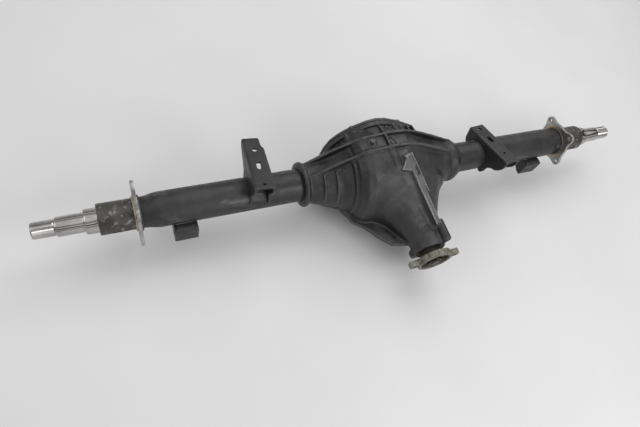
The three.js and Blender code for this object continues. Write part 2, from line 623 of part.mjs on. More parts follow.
// ---- every named piece ----------------------------------------------------------------------
add('carrier_housing', carrierHousing(), ...PAINT);
for (const [side, word] of SIDES) {
  add(`axle_tube_${word}`, axleTube(side, side < 0 ? 160 : 194), ...PAINT);
  add(`spindle_${word}`, spindle(side), ...MACHINED);
  add(`brake_flange_${word}`, brakeFlange(side), ...PLATE_STEEL);
  add(`shock_bracket_${word}`, shockBracket(side), ...PAINT);
}
add('spring_perch_left', springPerch(-1, TALL_WALL, 60), ...BRACKET_PAINT);
add('spring_perch_right', springPerch(1, LOW_WALL, 50), ...BRACKET_PAINT);

add('rear_cover', rearCover(), ...PAINT);
add('cover_gasket', coverGasket(), ...GASKET);
coverBoltSpots.forEach(([x, z], i) => {
  add(`cover_bolt_${i + 1}`, bolt(x, z, COVER_BACK, 70, COVER_BOLT_R, 6.5, 5), ...FASTENER);
});
add('fill_plug', plug(FILL_PLUG), ...FASTENER);
add('drain_plug', plug(DRAIN_PLUG), ...FASTENER);
add('breather_vent', breatherVent(), ...FASTENER);

for (const [x, word, open] of [[LEFT_BEARING_X, 'left', 1], [RIGHT_BEARING_X, 'right', -1]]) {
  const [from, to] = [x - BEARING_W / 2, x + BEARING_W / 2];
  const outer = cup('x', from, to, BEARING_R - FIT, 38.5, 41.5, open);
  const inner = cone('x', from, to, CASE_HUB_R + FIT, 38.2, 41.2, open, [0, 0, 0]);
  add(`bearing_cap_${word}`, bearingCap(x), ...PAINT);
  add(`carrier_bearing_cup_${word}`, outer, ...BEARING_STEEL);
  add(`carrier_bearing_cone_${word}`, inner, ...BEARING_STEEL);
}
capBoltSpots.forEach(([x, z], i) => {
  add(`cap_bolt_${i + 1}`, bolt(x, z, CAP_FOOT_Y, -34, CAP_BOLT_R, 9, 8), ...FASTENER);
});

const [stemBore, seatBore] = [PINION_STEM_R + FIT, PINION_SEAT_R + FIT];
const pinionRings = {
  pinion_bearing_cup_rear: cup('y', -179.5, -150, 51.7, 44, 48, 1, NOSE_AXIS),
  pinion_bearing_cone_rear: cone('y', -179.5, -147, seatBore, 43.7, 47.7, 1, NOSE_AXIS),
  pinion_bearing_cup_front: cup('y', FRONT_BEARING_Y, -228.5, 41.7, 36.5, 33.5, 1, NOSE_AXIS),
  pinion_bearing_cone_front: cone('y', FRONT_BEARING_Y, -228.5, stemBore, 36.2, 33.2, 1, NOSE_AXIS),
  pinion_spacer: ring('y', -228, -181.5, stemBore, 29, 22, NOSE_AXIS),
};
for (const [name, body] of Object.entries(pinionRings)) add(name, body, ...BEARING_STEEL);
const [sealFrom, sealTo] = [NOSE_Y + 2, SEAL_SEAT_Y - FIT];
const sealRing = ring('y', sealFrom, sealTo, HUB_R + FIT, SEAL_OUTER, 28, NOSE_AXIS);
add('pinion_seal', sealRing, ...SEAL_RUBBER);
add('pinion_shaft', pinionShaft(), ...GEAR_STEEL);
add('pinion_flange', pinionFlange(), ...FLANGE_STEEL);
add('pinion_nut', pinionNut(), ...FASTENER);

add('ring_gear', ringGear(), ...GEAR_STEEL);
add('differential_case', differentialCase(), ...GEAR_STEEL);
const crossPin = cylinder('y', -CASE_R + 1, CASE_R - 1, PIN_R, 16, [DIFF_X, 0, 0]);
add('cross_pin', crossPin, ...BEARING_STEEL);
for (const [side, word] of SIDES) add(`side_gear_${word}`, sideGear(side), ...GEAR_STEEL);
add('spider_gear_front', spiderGear(-1), ...GEAR_STEEL);
add('spider_gear_rear', spiderGear(1), ...GEAR_STEEL);

// ---- set the whole assembly down: middle of its box over the origin, lowest point on z = 0 ----
const bounds = new THREE.Box3().setFromObject(group);
const middle = bounds.getCenter(new THREE.Vector3());
for (const mesh of group.children) mesh.geometry.translate(-middle.x, -middle.y, -bounds.min.z);

export default group;
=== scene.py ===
"""Looks for the rear axle assembly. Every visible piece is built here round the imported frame.

Shapes are drawn in millimetres about the axle axis, as the frame's own source draws them:
+X runs along the axle, the pinion points to -Y and +Z is up.
"""
import functools
import json
import math

import bmesh
import bpy
import numpy as np
from mathutils import Matrix, Vector


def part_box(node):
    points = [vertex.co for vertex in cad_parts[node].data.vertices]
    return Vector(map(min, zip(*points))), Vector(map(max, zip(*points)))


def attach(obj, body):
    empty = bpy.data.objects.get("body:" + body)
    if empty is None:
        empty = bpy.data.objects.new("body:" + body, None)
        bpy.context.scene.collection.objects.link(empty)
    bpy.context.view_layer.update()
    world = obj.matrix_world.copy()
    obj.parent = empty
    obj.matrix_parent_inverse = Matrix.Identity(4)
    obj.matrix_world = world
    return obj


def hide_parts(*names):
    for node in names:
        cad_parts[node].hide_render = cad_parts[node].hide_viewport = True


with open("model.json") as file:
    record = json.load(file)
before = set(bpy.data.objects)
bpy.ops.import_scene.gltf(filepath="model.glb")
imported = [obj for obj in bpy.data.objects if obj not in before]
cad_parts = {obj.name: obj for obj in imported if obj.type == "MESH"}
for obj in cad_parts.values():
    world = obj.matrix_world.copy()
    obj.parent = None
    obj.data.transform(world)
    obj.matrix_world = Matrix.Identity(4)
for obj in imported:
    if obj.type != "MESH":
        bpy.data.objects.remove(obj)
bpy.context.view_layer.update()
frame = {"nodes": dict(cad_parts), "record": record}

HOUSING = "axle_housing"
PINION = "pinion"

# ---- driving dimensions, in millimetres ----
MM = 0.001
SPINDLE_TIP = 1027
BRAKE_FACE = 768
HUB_SHOULDER = 865
THREAD_START = 970
TUBE_R = 50.8
BORE_R = 15.5
BASE_Z = -155.5
CAST_LEFT, CAST_RIGHT = -286, 288
PINION_X, PINION_Z = 74, -30
NOSE_Y = -298
NOSE_R = 54
SEAL_SEAT_Y = -282
FLANGE_FACE_Y = -338
DRIVE_EAR_ANGLES = [math.radians(a) for a in (11, 191)]
COVER_FACE_Y = 90
COVER_SEAT_Y = 91.6
PERCH_X = 420
SHOCK_X = 640
SEAT_TILT = math.radians(14)
SEAT_YAW = math.radians(5.7)
VENT_X, VENT_Y = -76, 14
BRAKE_EAR_ANGLES = [math.radians(a) - SEAT_TILT for a in (45, 135, 225, 315)]

spindle_low, spindle_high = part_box("spindle_left")
AXLE = np.array([0, (spindle_low.y + spindle_high.y) / 2, (spindle_low.z + spindle_high.z) / 2])
PINION_OFFSET = np.array([PINION_X, 0, PINION_Z]) * MM


# ---- signed distance fields: negative inside, in millimetres ----
def outline_distance(u, v, points):
    """Signed distance from each (u, v) to a closed outline of straight edges."""
    nearest = np.full(np.broadcast(u, v).shape, 1e9, np.float32)
    inside = np.zeros(nearest.shape, bool)
    for (au, av), (bu, bv) in zip(points, points[1:] + points[:1]):
        eu, ev = bu - au, bv - av
        length = eu * eu + ev * ev
        if length == 0:
            continue
        pu, pv = u - au, v - av
        t = np.clip((pu * eu + pv * ev) / length, 0, 1)
        nearest = np.minimum(nearest, (pu - t * eu) ** 2 + (pv - t * ev) ** 2)
        if av != bv:
            inside ^= ((av > v) != (bv > v)) & (u < au + (v - av) / (bv - av) * eu)
    return np.sqrt(nearest) * np.where(inside, -1, 1)


def disc_distance(u, v, centre, radius):
    """Signed distance from each (u, v) to a disc."""
    return np.sqrt((u - centre[0]) ** 2 + (v - centre[1]) ** 2) - radius


def slab(flat, along, low, high, edge=0.0):
    """A flat shape's distances made into a plate between two positions, with rounded edges."""
    across = flat + edge
    ends = np.abs(along - (low + high) / 2) - (high - low) / 2 + edge
    outside = np.sqrt(np.maximum(across, 0) ** 2 + np.maximum(ends, 0) ** 2)
    return outside + np.minimum(np.maximum(across, ends), 0) - edge


def blend(a, b, reach):
    """Two solids joined, with a fillet about `reach` wide where they meet."""
    near = np.maximum(reach - np.abs(a - b), 0) / reach
    return np.minimum(a, b) - near * near * reach / 4


def carve(a, b, reach=0.5):
    """`a` with `b` taken away, and the new edge rounded over about `reach`."""
    return -blend(-a, b, reach)


def common(a, b, reach):
    """What two solids share, with the new edge rounded over about `reach`."""
    return -blend(-a, -b, reach)


def merged(solids, reach=0):
    """Several solids as one, with a fillet about `reach` wide where they meet."""
    return functools.reduce(lambda a, b: blend(a, b, reach) if reach else np.minimum(a, b), solids)


class Grid:
    """Points of a regular grid, and the solids measured on it."""

    def __init__(self, low, high, cell):
        self.low = np.array(low, float)
        self.cell = cell
        lines = [np.arange(a, b + cell, cell, dtype=np.float32) for a, b in zip(low, high)]
        self.x = lines[0][:, None, None]
        self.y = lines[1][None, :, None]
        self.z = lines[2][None, None, :]

    def about(self, axis, centre):
        """Position along a line parallel to an axis, and distance from it."""
        coordinates = [self.x - centre[0], self.y - centre[1], self.z - centre[2]]
        along = coordinates.pop(axis) + centre[axis]
        return along, np.sqrt(coordinates[0] ** 2 + coordinates[1] ** 2)

    def spun(self, axis, outline, centre=(0, 0, 0)):
        """A solid of revolution from [along, radius] points that start and end on the axis."""
        closed = outline + [(a, -r) for a, r in reversed(outline)]
        along, radius = self.about(axis, centre)
        flat = np.squeeze(radius, axis)
        step = 0.5
        samples = np.arange(0, flat.max() + 2 * step, step, dtype=np.float32)
        table = outline_distance(along.ravel()[:, None], samples[None, :], closed)
        place = flat / step
        cell = place.astype(int)
        part = place - cell
        values = table[:, cell] * (1 - part) + table[:, cell + 1] * part
        return np.moveaxis(values, 0, axis).astype(np.float32)

    def plate(self, axis, outline, low, high, edge=0.0):
        """A closed outline in the plane square to an axis, between two positions along it."""
        coordinates = [self.x, self.y, self.z]
        along = coordinates.pop(axis)
        return slab(outline_distance(*coordinates, list(outline)), along, low, high, edge)

    def rod(self, axis, low, high, radius, centre=(0, 0, 0), edge=0.0):
        """A straight cylinder along an axis."""
        along, distance = self.about(axis, centre)
        return slab(distance - radius, along, low, high, edge)

    def capsule(self, start, end, radius):
        """A round bar with round ends between two points."""
        a, b = np.array(start, float), np.array(end, float)
        d = b - a
        px, py, pz = self.x - a[0], self.y - a[1], self.z - a[2]
        t = np.clip((px * d[0] + py * d[1] + pz * d[2]) / (d @ d), 0, 1)
        return np.sqrt((px - t * d[0]) ** 2 + (py - t * d[1]) ** 2 + (pz - t * d[2]) ** 2) - radius

    def sand(self, amount, pitch, seed):
        """Slow random unevenness of a cast surface."""
        shape = np.broadcast(self.x, self.y, self.z).shape
        lattice_shape = [int(n * self.cell / pitch) + 3 for n in shape]
        values = np.random.default_rng(seed).uniform(-amount, amount, lattice_shape)
        for axis, n in enumerate(shape):
            place = np.arange(n) * self.cell / pitch
            cell = place.astype(int)
            part = place - cell
            part = part * part * (3 - 2 * part)
            weights = part.reshape([-1 if k == axis else 1 for k in range(3)])
            values = (np.take(values, cell, axis) * (1 - weights)
                      + np.take(values, cell + 1, axis) * weights)
        return values.astype(np.float32)


def skin(grid, field):
    """The zero surface of a field: one point for each cell it crosses and one quad for each edge."""
    cells = np.array(field.shape) - 1
    quads, corners, weights = [], [], []
    for axis in range(3):
        others = [k for k in range(3) if k != axis]
        first = [slice(1, -1)] * 3
        second = [slice(1, -1)] * 3
        first[axis], second[axis] = slice(None, -1), slice(1, None)
        start, end = field[tuple(first)], field[tuple(second)]
        crossed = (start < 0) != (end < 0)
        corner = np.argwhere(crossed)
        for k in others:
            corner[:, k] += 1
        start, end = start[crossed], end[crossed]
        point = corner.astype(float)
        point[:, axis] += start / (start - end)
        around = []
        for du, dv in ((0, 0), (-1, 0), (-1, -1), (0, -1)):
            cell = corner.copy()
            cell[:, others[0]] += du
            cell[:, others[1]] += dv
            around.append(np.ravel_multi_index(cell.T, cells))
            corners.append(around[-1])
            weights.append(point)
        quad = np.stack(around, 1)
        turned_over = (start > 0) ^ (axis == 1)
        quad[turned_over] = quad[turned_over][:, ::-1]
        quads.append(quad)
    corners, weights, quads = np.concatenate(corners), np.concatenate(weights), np.concatenate(quads)
    used, place = np.unique(corners, return_inverse=True)
    counts = np.bincount(place)
    points = np.stack([np.bincount(place, weights[:, k]) / counts for k in range(3)], 1)
    return points * grid.cell + grid.low, np.searchsorted(used, quads)


# ---- meshes ----
def linked(name, data):
    """A new object in the scene."""
    made = bpy.data.objects.new(name, data)
    bpy.context.scene.collection.objects.link(made)
    return made


def mesh_object(name, points, faces):
    """A mesh from points in millimetres about the axle axis, set down in the frame."""
    mesh = bpy.data.meshes.new(name)
    placed = np.asarray(points, float) * MM + AXLE
    mesh.from_pydata(placed.tolist(), [], [list(map(int, f)) for f in faces])
    mesh.validate()
    mesh.shade_smooth()
    return linked(name, mesh)


def from_field(name, grid, field):
    """The piece whose surface is where a field is zero."""
    points, quads = skin(grid, field)
    return mesh_object(name, points, quads)


def softened(outline, reach, steps=3):
    """A closed outline with each corner replaced by a short curve."""
    made = []
    points = [np.array(p, float) for p in outline]
    for before, corner, after in zip(points[-1:] + points[:-1], points, points[1:] + points[:1]):
        back, on = before - corner, after - corner
        if min(np.linalg.norm(back), np.linalg.norm(on)) == 0:
            continue
        start = corner + back * min(0.45, reach / np.linalg.norm(back))
        end = corner + on * min(0.45, reach / np.linalg.norm(on))
        for k in range(steps + 1):
            t = k / steps
            made.append(tuple((1 - t) ** 2 * start + 2 * t * (1 - t) * corner + t * t * end))
    return made


def revolved(name, rings, axis, centre=(0, 0, 0), segments=96, closed=False, angle_deg=35):
    """Rings of [along, radius] joined round an axis. Either number may be an array, one per segment.
    A closed set of rings makes a hollow body, and an open one is capped at both ends."""
    angles = np.linspace(0, 2 * math.pi, segments, endpoint=False)
    points, faces = [], []
    for along, radius in rings:
        along, radius = np.broadcast_to(along, segments), np.broadcast_to(radius, segments)
        ring = [radius * np.cos(angles), radius * np.sin(angles)]
        ring.insert(axis, along)
        points.append(np.stack(ring, 1))
    count = len(rings)
    for k in range(count if closed else count - 1):
        here, there = k * segments, (k + 1) % count * segments
        for i in range(segments):
            j = (i + 1) % segments
            faces.append((here + i, here + j, there + j, there + i))
    if not closed:
        faces.append(tuple(range(segments)))
        faces.append(tuple(range((count - 1) * segments, count * segments)))
    made = mesh_object(name, np.concatenate(points) + np.array(centre), faces)
    tidy_normals(made)
    return crisp(made, angle_deg)


def crisp(made, degrees):
    """Smooth shading, but sharp edges where faces meet at more than an angle."""
    made.data.shade_smooth()
    made.data.set_sharp_from_angle(angle=math.radians(degrees))
    return made


def tidy_normals(made):
    """Doubled points merged and every face turned outwards."""
    work = bmesh.new()
    work.from_mesh(made.data)
    bmesh.ops.remove_doubles(work, verts=work.verts, dist=1e-7)
    bmesh.ops.recalc_face_normals(work, faces=work.faces)
    work.to_mesh(made.data)
    work.free()


def cut_with(made, cutters):
    """Exact cuts, applied at once, with the cutters then deleted."""
    for cutter in cutters:
        modifier = made.modifiers.new("cut", "BOOLEAN")
        modifier.operation, modifier.solver, modifier.object = "DIFFERENCE", "EXACT", cutter
    evaluated = made.evaluated_get(bpy.context.evaluated_depsgraph_get())
    fresh = bpy.data.meshes.new_from_object(evaluated)
    made.modifiers.clear()
    made.data = fresh
    for cutter in cutters:
        bpy.data.objects.remove(cutter)
    return crisp(made, 30)


def block(name, x0, x1, y0, y1, z0, z1):
    """A six-sided cutter."""
    points = [(x, y, z) for x in (x0, x1) for y in (y0, y1) for z in (z0, z1)]
    faces = [(0, 1, 3, 2), (4, 6, 7, 5), (0, 4, 5, 1), (2, 3, 7, 6), (0, 2, 6, 4), (1, 5, 7, 3)]
    made = mesh_object(name, points, faces)
    tidy_normals(made)
    return made


def prism_radius(sides, across, segments):
    """Distance to the edge of a regular polygon at each segment, from its half width."""
    angles = np.linspace(0, 2 * math.pi, segments, endpoint=False)
    sector = 2 * math.pi / sides
    return across / np.cos((angles + sector / 2) % sector - sector / 2)


def finish_piece(made, nodes, materials, body=HOUSING):
    """Everything a piece says about itself: materials, body and the nodes it stands for."""
    made.data.materials.clear()
    for material in materials:
        made.data.materials.append(material)
    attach(made, body)
    if nodes:
        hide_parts(*nodes)
    return made


# ---- materials ----
MIDDLE = (0.3, 0.7)  # the range that most of a noise falls in


class Finish:
    """A node material under construction."""

    def __init__(self, name):
        self.material = bpy.data.materials.new(name)
        self.material.use_nodes = True
        self.tree = self.material.node_tree
        self.shader = self.tree.nodes["Principled BSDF"]
        self.place = self.node("TexCoord").outputs["Object"]

    def node(self, kind, inputs=None, **settings):
        made = self.tree.nodes.new("ShaderNode" + kind)
        for key, value in settings.items():
            setattr(made, key, value)
        for key, value in (inputs or {}).items():
            self.feed(made.inputs[key], value)
        return made

    def feed(self, socket, value):
        """A link into a socket, or a constant set on it."""
        if isinstance(value, bpy.types.NodeSocket):
            self.tree.links.new(value, socket)
        else:
            socket.default_value = value

    def set(self, **values):
        for key, value in values.items():
            self.feed(self.shader.inputs[key.replace("_", " ")], value)

    def noise(self, scale, detail=3.0, roughness=0.5, stretch=None):
        place = self.place
        if stretch:
            place = self.node("Mapping", {"Vector": place, "Scale": stretch}).outputs[0]
        made = self.node("TexNoise", {
            "Vector": place, "Scale": scale, "Detail": detail, "Roughness": roughness})
        return made.outputs["Fac"]

    def ramp(self, value, low, high, out_low=0.0, out_high=1.0):
        """A value taken from low..high to out_low..out_high, smoothly and clamped."""
        made = self.node("MapRange", {
            "Value": value, "From Min": low, "From Max": high, "To Min": out_low, "To Max": out_high},
            interpolation_type="SMOOTHSTEP")
        return made.outputs["Result"]

    def plus(self, a, b):
        return self.node("Math", {0: a, 1: b}, operation="ADD").outputs[0]

    def times(self, a, b):
        return self.node("Math", {0: a, 1: b}, operation="MULTIPLY").outputs[0]

    def mix(self, share, a, b):
        a, b = [c if isinstance(c, bpy.types.NodeSocket) else (*c, 1.0) for c in (a, b)]
        return self.node("Mix", {0: share, 6: a, 7: b}, data_type="RGBA").outputs[2]

    def bump(self, height, distance, strength=1.0, normal=None):
        inputs = {"Height": height, "Distance": distance, "Strength": strength}
        if normal:
            inputs["Normal"] = normal
        return self.node("Bump", inputs).outputs["Normal"]

    def edges(self, low=0.505, high=0.56):
        """1 on outside edges and 0 elsewhere."""
        geometry = self.node("NewGeometry")
        return self.ramp(geometry.outputs["Pointiness"], low, high)

    def facing_up(self):
        """1 on level upper faces, falling to 0 on steep ones."""
        geometry = self.node("NewGeometry")
        parts = self.node("SeparateXYZ", {0: geometry.outputs["Normal"]})
        return self.ramp(parts.outputs["Z"], 0.3, 1.0)

    def from_line(self, point, across):
        """Distance in metres from a line through a point, with 1 for each axis square to the line."""
        shifted = self.node("VectorMath", {0: self.place, 1: tuple(-point)}, operation="ADD").outputs[0]
        flat = self.node("VectorMath", {0: shifted, 1: across}, operation="MULTIPLY").outputs[0]
        return self.node("VectorMath", {0: flat}, operation="LENGTH").outputs["Value"]


def satin_paint(name, colour, dust, rough, grain, fineness):
    """Satin black paint: cloudy gloss, paint-filled grain, thin paler edges of worn paint with a painted
    edge highlight, and a little dust on top.
    `grain` is the height of the surface grain in metres, and `fineness` the scale of its noise."""
    look = Finish(name)
    cloud = look.noise(9, 4)
    fine = look.noise(95, 3)
    lighter = tuple(c * 1.5 + 0.004 for c in colour)
    base = look.mix(look.ramp(cloud, *MIDDLE), colour, lighter)
    base = look.mix(look.ramp(fine, 0.55, 0.8, 0, 0.35), base, tuple(c * 0.55 for c in colour))
    settled = look.times(look.facing_up(), look.ramp(look.noise(22, 5), 0.42, 0.75, 0, 0.55))
    base = look.mix(settled, base, dust)
    # paler outside edges: worn paint, together with a painted highlight along rib and edge rims
    edge_wear_and_highlight = look.times(look.edges(), look.ramp(fine, 0.3, 0.5, 0.4, 1.0))
    base = look.mix(edge_wear_and_highlight, base, tuple(c * 3.2 + 0.03 for c in colour))
    gloss = look.ramp(look.noise(40, 4), *MIDDLE, rough - 0.08, rough + 0.1)
    rougher = look.plus(gloss, look.times(settled, 0.25))
    texture = look.bump(look.noise(fineness, 3, 0.6), grain)
    waves = look.bump(look.noise(fineness * 0.16, 2), grain * 3.0, 0.6, texture)
    look.set(Base_Color=base, Roughness=rougher, Normal=waves, Specular_IOR_Level=0.5)
    return look


def casting_paint():
    return satin_paint("casting_paint", (0.0125, 0.0118, 0.0128), (0.075, 0.072, 0.070), 0.40,
                       0.00032, 620).material


# Paler satin paint for the snout web's upper faces: a painted highlight.
def web_highlight_paint():
    return satin_paint("web_highlight_paint", (0.080, 0.078, 0.079), (0.15, 0.148, 0.146), 0.36,
                       0.00018, 620).material


def cover_paint():
    return satin_paint("cover_paint", (0.015, 0.0155, 0.0165), (0.085, 0.082, 0.078), 0.42,
                       0.0003, 560).material


def bracket_paint():
    return satin_paint("bracket_paint", (0.0100, 0.0112, 0.0104), (0.045, 0.046, 0.042), 0.44,
                       0.00010, 900).material


def tube_paint():
    """Smoother paint on drawn tube, with handling scuffs in patches along the top."""
    look = satin_paint("tube_paint", (0.0135, 0.0127, 0.0136), (0.060, 0.058, 0.056), 0.42, 0.00006, 900)
    painted = look.shader.inputs["Base Color"].links[0].from_socket
    patch = look.ramp(look.noise(14, 3, 0.55, (0.6, 1, 1)), 0.56, 0.66)
    streaks = look.ramp(look.noise(160, 3, 0.6, (0.15, 1, 1)), 0.42, 0.62)
    scuffed = look.times(look.times(patch, streaks), 0.50)
    look.set(Base_Color=look.mix(scuffed, painted, (0.15, 0.15, 0.148)))
    return look.material


def turned_steel():
    """Bright turned steel: faint ring-shaped tool marks, slight haze and brown storage stains."""
    look = Finish("turned_steel")
    rings = look.noise(240, 2, 0.5, (1, 0.02, 0.02))
    haze = look.noise(18, 4)
    stain = look.ramp(look.noise(34, 5, 0.65), 0.62, 0.8, 0, 0.35)
    base = look.mix(look.ramp(haze, *MIDDLE), (0.52, 0.512, 0.50), (0.38, 0.372, 0.364))
    base = look.mix(stain, base, (0.20, 0.16, 0.12))
    rough = look.plus(look.ramp(rings, *MIDDLE, 0.07, 0.12), look.times(stain, 0.3))
    look.set(Base_Color=base, Metallic=1.0, Roughness=rough, Normal=look.bump(rings, 0.000006))
    return look.material


def mill_scale():
    """Dark forging scale with rubbed bright spots."""
    look = Finish("mill_scale")
    cloud = look.noise(26, 5, 0.6)
    fine = look.noise(300, 3)
    base = look.mix(look.ramp(cloud, *MIDDLE), (0.072, 0.070, 0.064), (0.108, 0.106, 0.098))
    patches = look.ramp(look.noise(70, 4), 0.56, 0.66)
    lightened = look.times(patches, look.ramp(fine, 0.4, 0.6, 0.2, 0.7))
    base = look.mix(lightened, base, (0.42, 0.415, 0.40))
    look.set(Base_Color=base, Metallic=0.75, Roughness=look.ramp(cloud, *MIDDLE, 0.36, 0.56),
             Normal=look.bump(look.noise(420, 3), 0.0002))
    return look.material


def flange_plate():
    """Silver plate with straw and bronze heat colours beside the weld."""
    look = Finish("flange_plate")
    cloud = look.noise(30, 4)
    base = look.mix(look.ramp(cloud, *MIDDLE), (0.44, 0.44, 0.43), (0.30, 0.30, 0.29))
    distance = look.plus(look.from_line(AXLE, (0, 1, 1)), look.times(cloud, 0.012))
    base = look.mix(look.ramp(distance, 0.072, 0.056), base, (0.38, 0.29, 0.15))
    base = look.mix(look.ramp(distance, 0.060, 0.052), base, (0.20, 0.12, 0.09))
    rough = look.ramp(look.noise(220, 3), *MIDDLE, 0.30, 0.46)
    look.set(Base_Color=base, Metallic=0.95, Roughness=rough, Normal=look.bump(look.noise(260, 3), 0.0001))
    return look.material


def weld_metal():
    """Straw and silver weld bead with dark burnt spots."""
    look = Finish("weld_metal")
    cloud = look.noise(160, 4)
    base = look.mix(look.ramp(cloud, 0.35, 0.65), (0.36, 0.27, 0.14), (0.50, 0.47, 0.40))
    base = look.mix(look.ramp(look.noise(60, 3), 0.6, 0.72), base, (0.10, 0.075, 0.06))
    look.set(Base_Color=base, Metallic=0.95, Roughness=look.ramp(cloud, *MIDDLE, 0.24, 0.44),
             Normal=look.bump(look.noise(500, 2), 0.0002))
    return look.material


def forged_flange():
    """Olive-grey phosphated forging with oily patches, and painted shade darkening its recess round the
    pinion's axis.
    """
    look = Finish("forged_flange")
    cloud = look.noise(45, 5, 0.6)
    base = look.mix(look.ramp(cloud, 0.35, 0.65), (0.22, 0.215, 0.17), (0.14, 0.135, 0.105))
    base = look.mix(look.times(look.edges(0.52, 0.6), 0.6), base, (0.42, 0.41, 0.35))
    # painted shade: darker colour inside the recess round the pinion's axis
    reach = look.from_line(AXLE + PINION_OFFSET, (1, 0, 1))
    base = look.mix(look.ramp(reach, 0.048, 0.044), base, (0.045, 0.042, 0.030))
    oily = look.ramp(look.noise(24, 3), 0.56, 0.7, 0, 0.6)
    base = look.mix(oily, base, (0.10, 0.095, 0.07))
    look.set(Base_Color=base, Metallic=0.55, Roughness=look.ramp(cloud, *MIDDLE, 0.42, 0.58),
             Normal=look.bump(look.noise(380, 3), 0.00018))
    return look.material


def metal(name, light, dark, low, high, size=320, metallic=1.0):
    """A plain worked metal with cloudy tone, rubbed edges and fine grain."""
    look = Finish(name)
    cloud = look.noise(size * 0.15, 4)
    base = look.mix(look.ramp(cloud, *MIDDLE), light, dark)
    base = look.mix(look.times(look.edges(), 0.6), base, tuple(min(1.0, c * 1.7) for c in light))
    look.set(Base_Color=base, Metallic=metallic, Roughness=look.ramp(look.noise(size), *MIDDLE, low, high),
             Normal=look.bump(look.noise(size * 1.6, 2), 0.00008))
    return look.material


def rubber(name, colour):
    """Dull rubber or fibre, a little cloudy."""
    look = Finish(name)
    cloud = look.noise(60, 4)
    base = look.mix(look.ramp(cloud, *MIDDLE), colour, tuple(c * 1.8 for c in colour))
    look.set(Base_Color=base, Roughness=look.ramp(cloud, *MIDDLE, 0.6, 0.82),
             Normal=look.bump(look.noise(800, 2), 0.0001))
    return look.material


PAINT = casting_paint()
WEB_HIGHLIGHT_PAINT = web_highlight_paint()
COVER_PAINT = cover_paint()
BRACKET = bracket_paint()
TUBE_PAINT = tube_paint()
STEEL = turned_steel()
SCALE = mill_scale()
PLATE = flange_plate()
WELD = weld_metal()
FORGED = forged_flange()
BLACK_STEEL = metal("black_steel", (0.055, 0.056, 0.058), (0.030, 0.030, 0.032), 0.32, 0.5, 260, 0.8)
OILY_STEEL = metal("oily_steel", (0.050, 0.047, 0.036), (0.025, 0.024, 0.018), 0.35, 0.6, 200, 0.7)
ZINC = metal("zinc_steel", (0.32, 0.33, 0.33), (0.20, 0.20, 0.21), 0.28, 0.46)
GEAR = metal("gear_steel", (0.26, 0.27, 0.28), (0.15, 0.155, 0.16), 0.22, 0.38)
BEARING = metal("bearing_steel", (0.56, 0.57, 0.58), (0.40, 0.41, 0.42), 0.14, 0.26)
RUBBER = rubber("seal_rubber", (0.012, 0.012, 0.012))
GASKET = rubber("gasket_fibre", (0.020, 0.024, 0.034))
# the slots of the parts that the frame shows of its own
SLOT_FINISH = {
    "black_paint": PAINT, "gear_steel": GEAR, "bearing_steel": BEARING, "fastener": BLACK_STEEL,
    "seal_rubber": RUBBER, "gasket": GASKET,
}

# ---- carrier housing ----
COVER_OUTLINE = [
    (176, 0), (172, 34), (160, 60), (126, 96), (56, 134), (4, 154), (-30, 160), (-62, 153),
    (-110, 131), (-140, 107), (-164, 76), (-176, 36), (-179, 0), (-174, -42), (-156, -84),
    (-118, -122), (-62, -155.5), (56, -155.5), (112, -112), (154, -68), (172, -32),
]
CAST_PROFILE = [
    (CAST_LEFT, 0), (CAST_LEFT, 58), (-283, 68), (-277, 71), (-272, 70), (-267, 63), (-262, 62),
    (-169, 90), (-152, 104), (-143, 109), (-141, 121), (-134, 124), (-130, 134), (-114, 149),
    (-90, 156), (44, 156), (70, 146), (100, 126), (136, 106), (165, 92), (215, 78), (242, 71),
    (246, 74), (262, 75), (272, 70), (283, 64), (CAST_RIGHT, 54), (CAST_RIGHT, 0),
]
SNOUT_PROFILE = [
    (-20, 0), (-20, 120), (-91, 128), (-128, 100), (-155, 86), (-185, 72), (-208, 64), (-230, 57),
    (-250, NOSE_R), (NOSE_Y + 5, NOSE_R), (NOSE_Y, NOSE_R - 4), (NOSE_Y, 0),
]
PINION_CENTRE = (PINION_X, 0, PINION_Z)
FLANK_PROFILE = [
    (-20, 0), (-20, 120), (-91, 132), (-128, 114), (-155, 97), (-185, 78), (-208, 63), (-230, 46),
    (-256, 22), (-256, 0),
]
FLANK_CENTRE = (46, 0, -24)
TOP_RIB = [
    (-268, 58), (-230, 84), (-182, 118), (-100, 158), (-12, 170), (39, 168), (85, 155), (128, 136),
    (206, 96), (262, 66),
]
RIB_FLOOR = [(x * 0.97, z - 22) for x, z in TOP_RIB]
CAST_RIBS = [(-13, 8, TOP_RIB), (36, 8, TOP_RIB), (14, 40, RIB_FLOOR)]  # middle, thickness and outline
RIB_FOOT = 20
UNDERSIDE = -0.92  # heights under the casting, as a share of those on top
COVER_BOLTS = 10
BOLT_RING = 0.92  # how far out towards the cover's outline the screws stand
BOLT_HOLE_R = 4.4


def scaled(outline, factor):
    return [(u * factor, v * factor) for u, v in outline]


def polar(radius, angle, cx=0.0, cy=0.0):
    return cx + radius * math.cos(angle), cy + radius * math.sin(angle)


def even_angles(count):
    """Angles midway between equal divisions of a full turn."""
    return [(i + 0.5) / count * 2 * math.pi for i in range(count)]


def cover_bolt_spots():
    """The corner of the cover's outline nearest to each screw's direction, drawn in a little."""
    spots = []
    for angle in even_angles(COVER_BOLTS):
        ahead = [math.cos(math.atan2(z, x) - angle) for x, z in COVER_OUTLINE]
        x, z = COVER_OUTLINE[ahead.index(max(ahead))]
        spots.append((x * BOLT_RING, z * BOLT_RING))
    return spots


def cast_ribs(grid):
    """Two long ribs over the top and under the bottom, with a raised floor between them."""
    for flip in (1, UNDERSIDE):
        for y, thickness, line in CAST_RIBS:
            feet = [(line[-1][0], RIB_FOOT), (line[0][0], RIB_FOOT)]
            shape = [(x, z * flip) for x, z in line + feet]
            yield grid.plate(1, shape, y - thickness / 2, y + thickness / 2, 3)


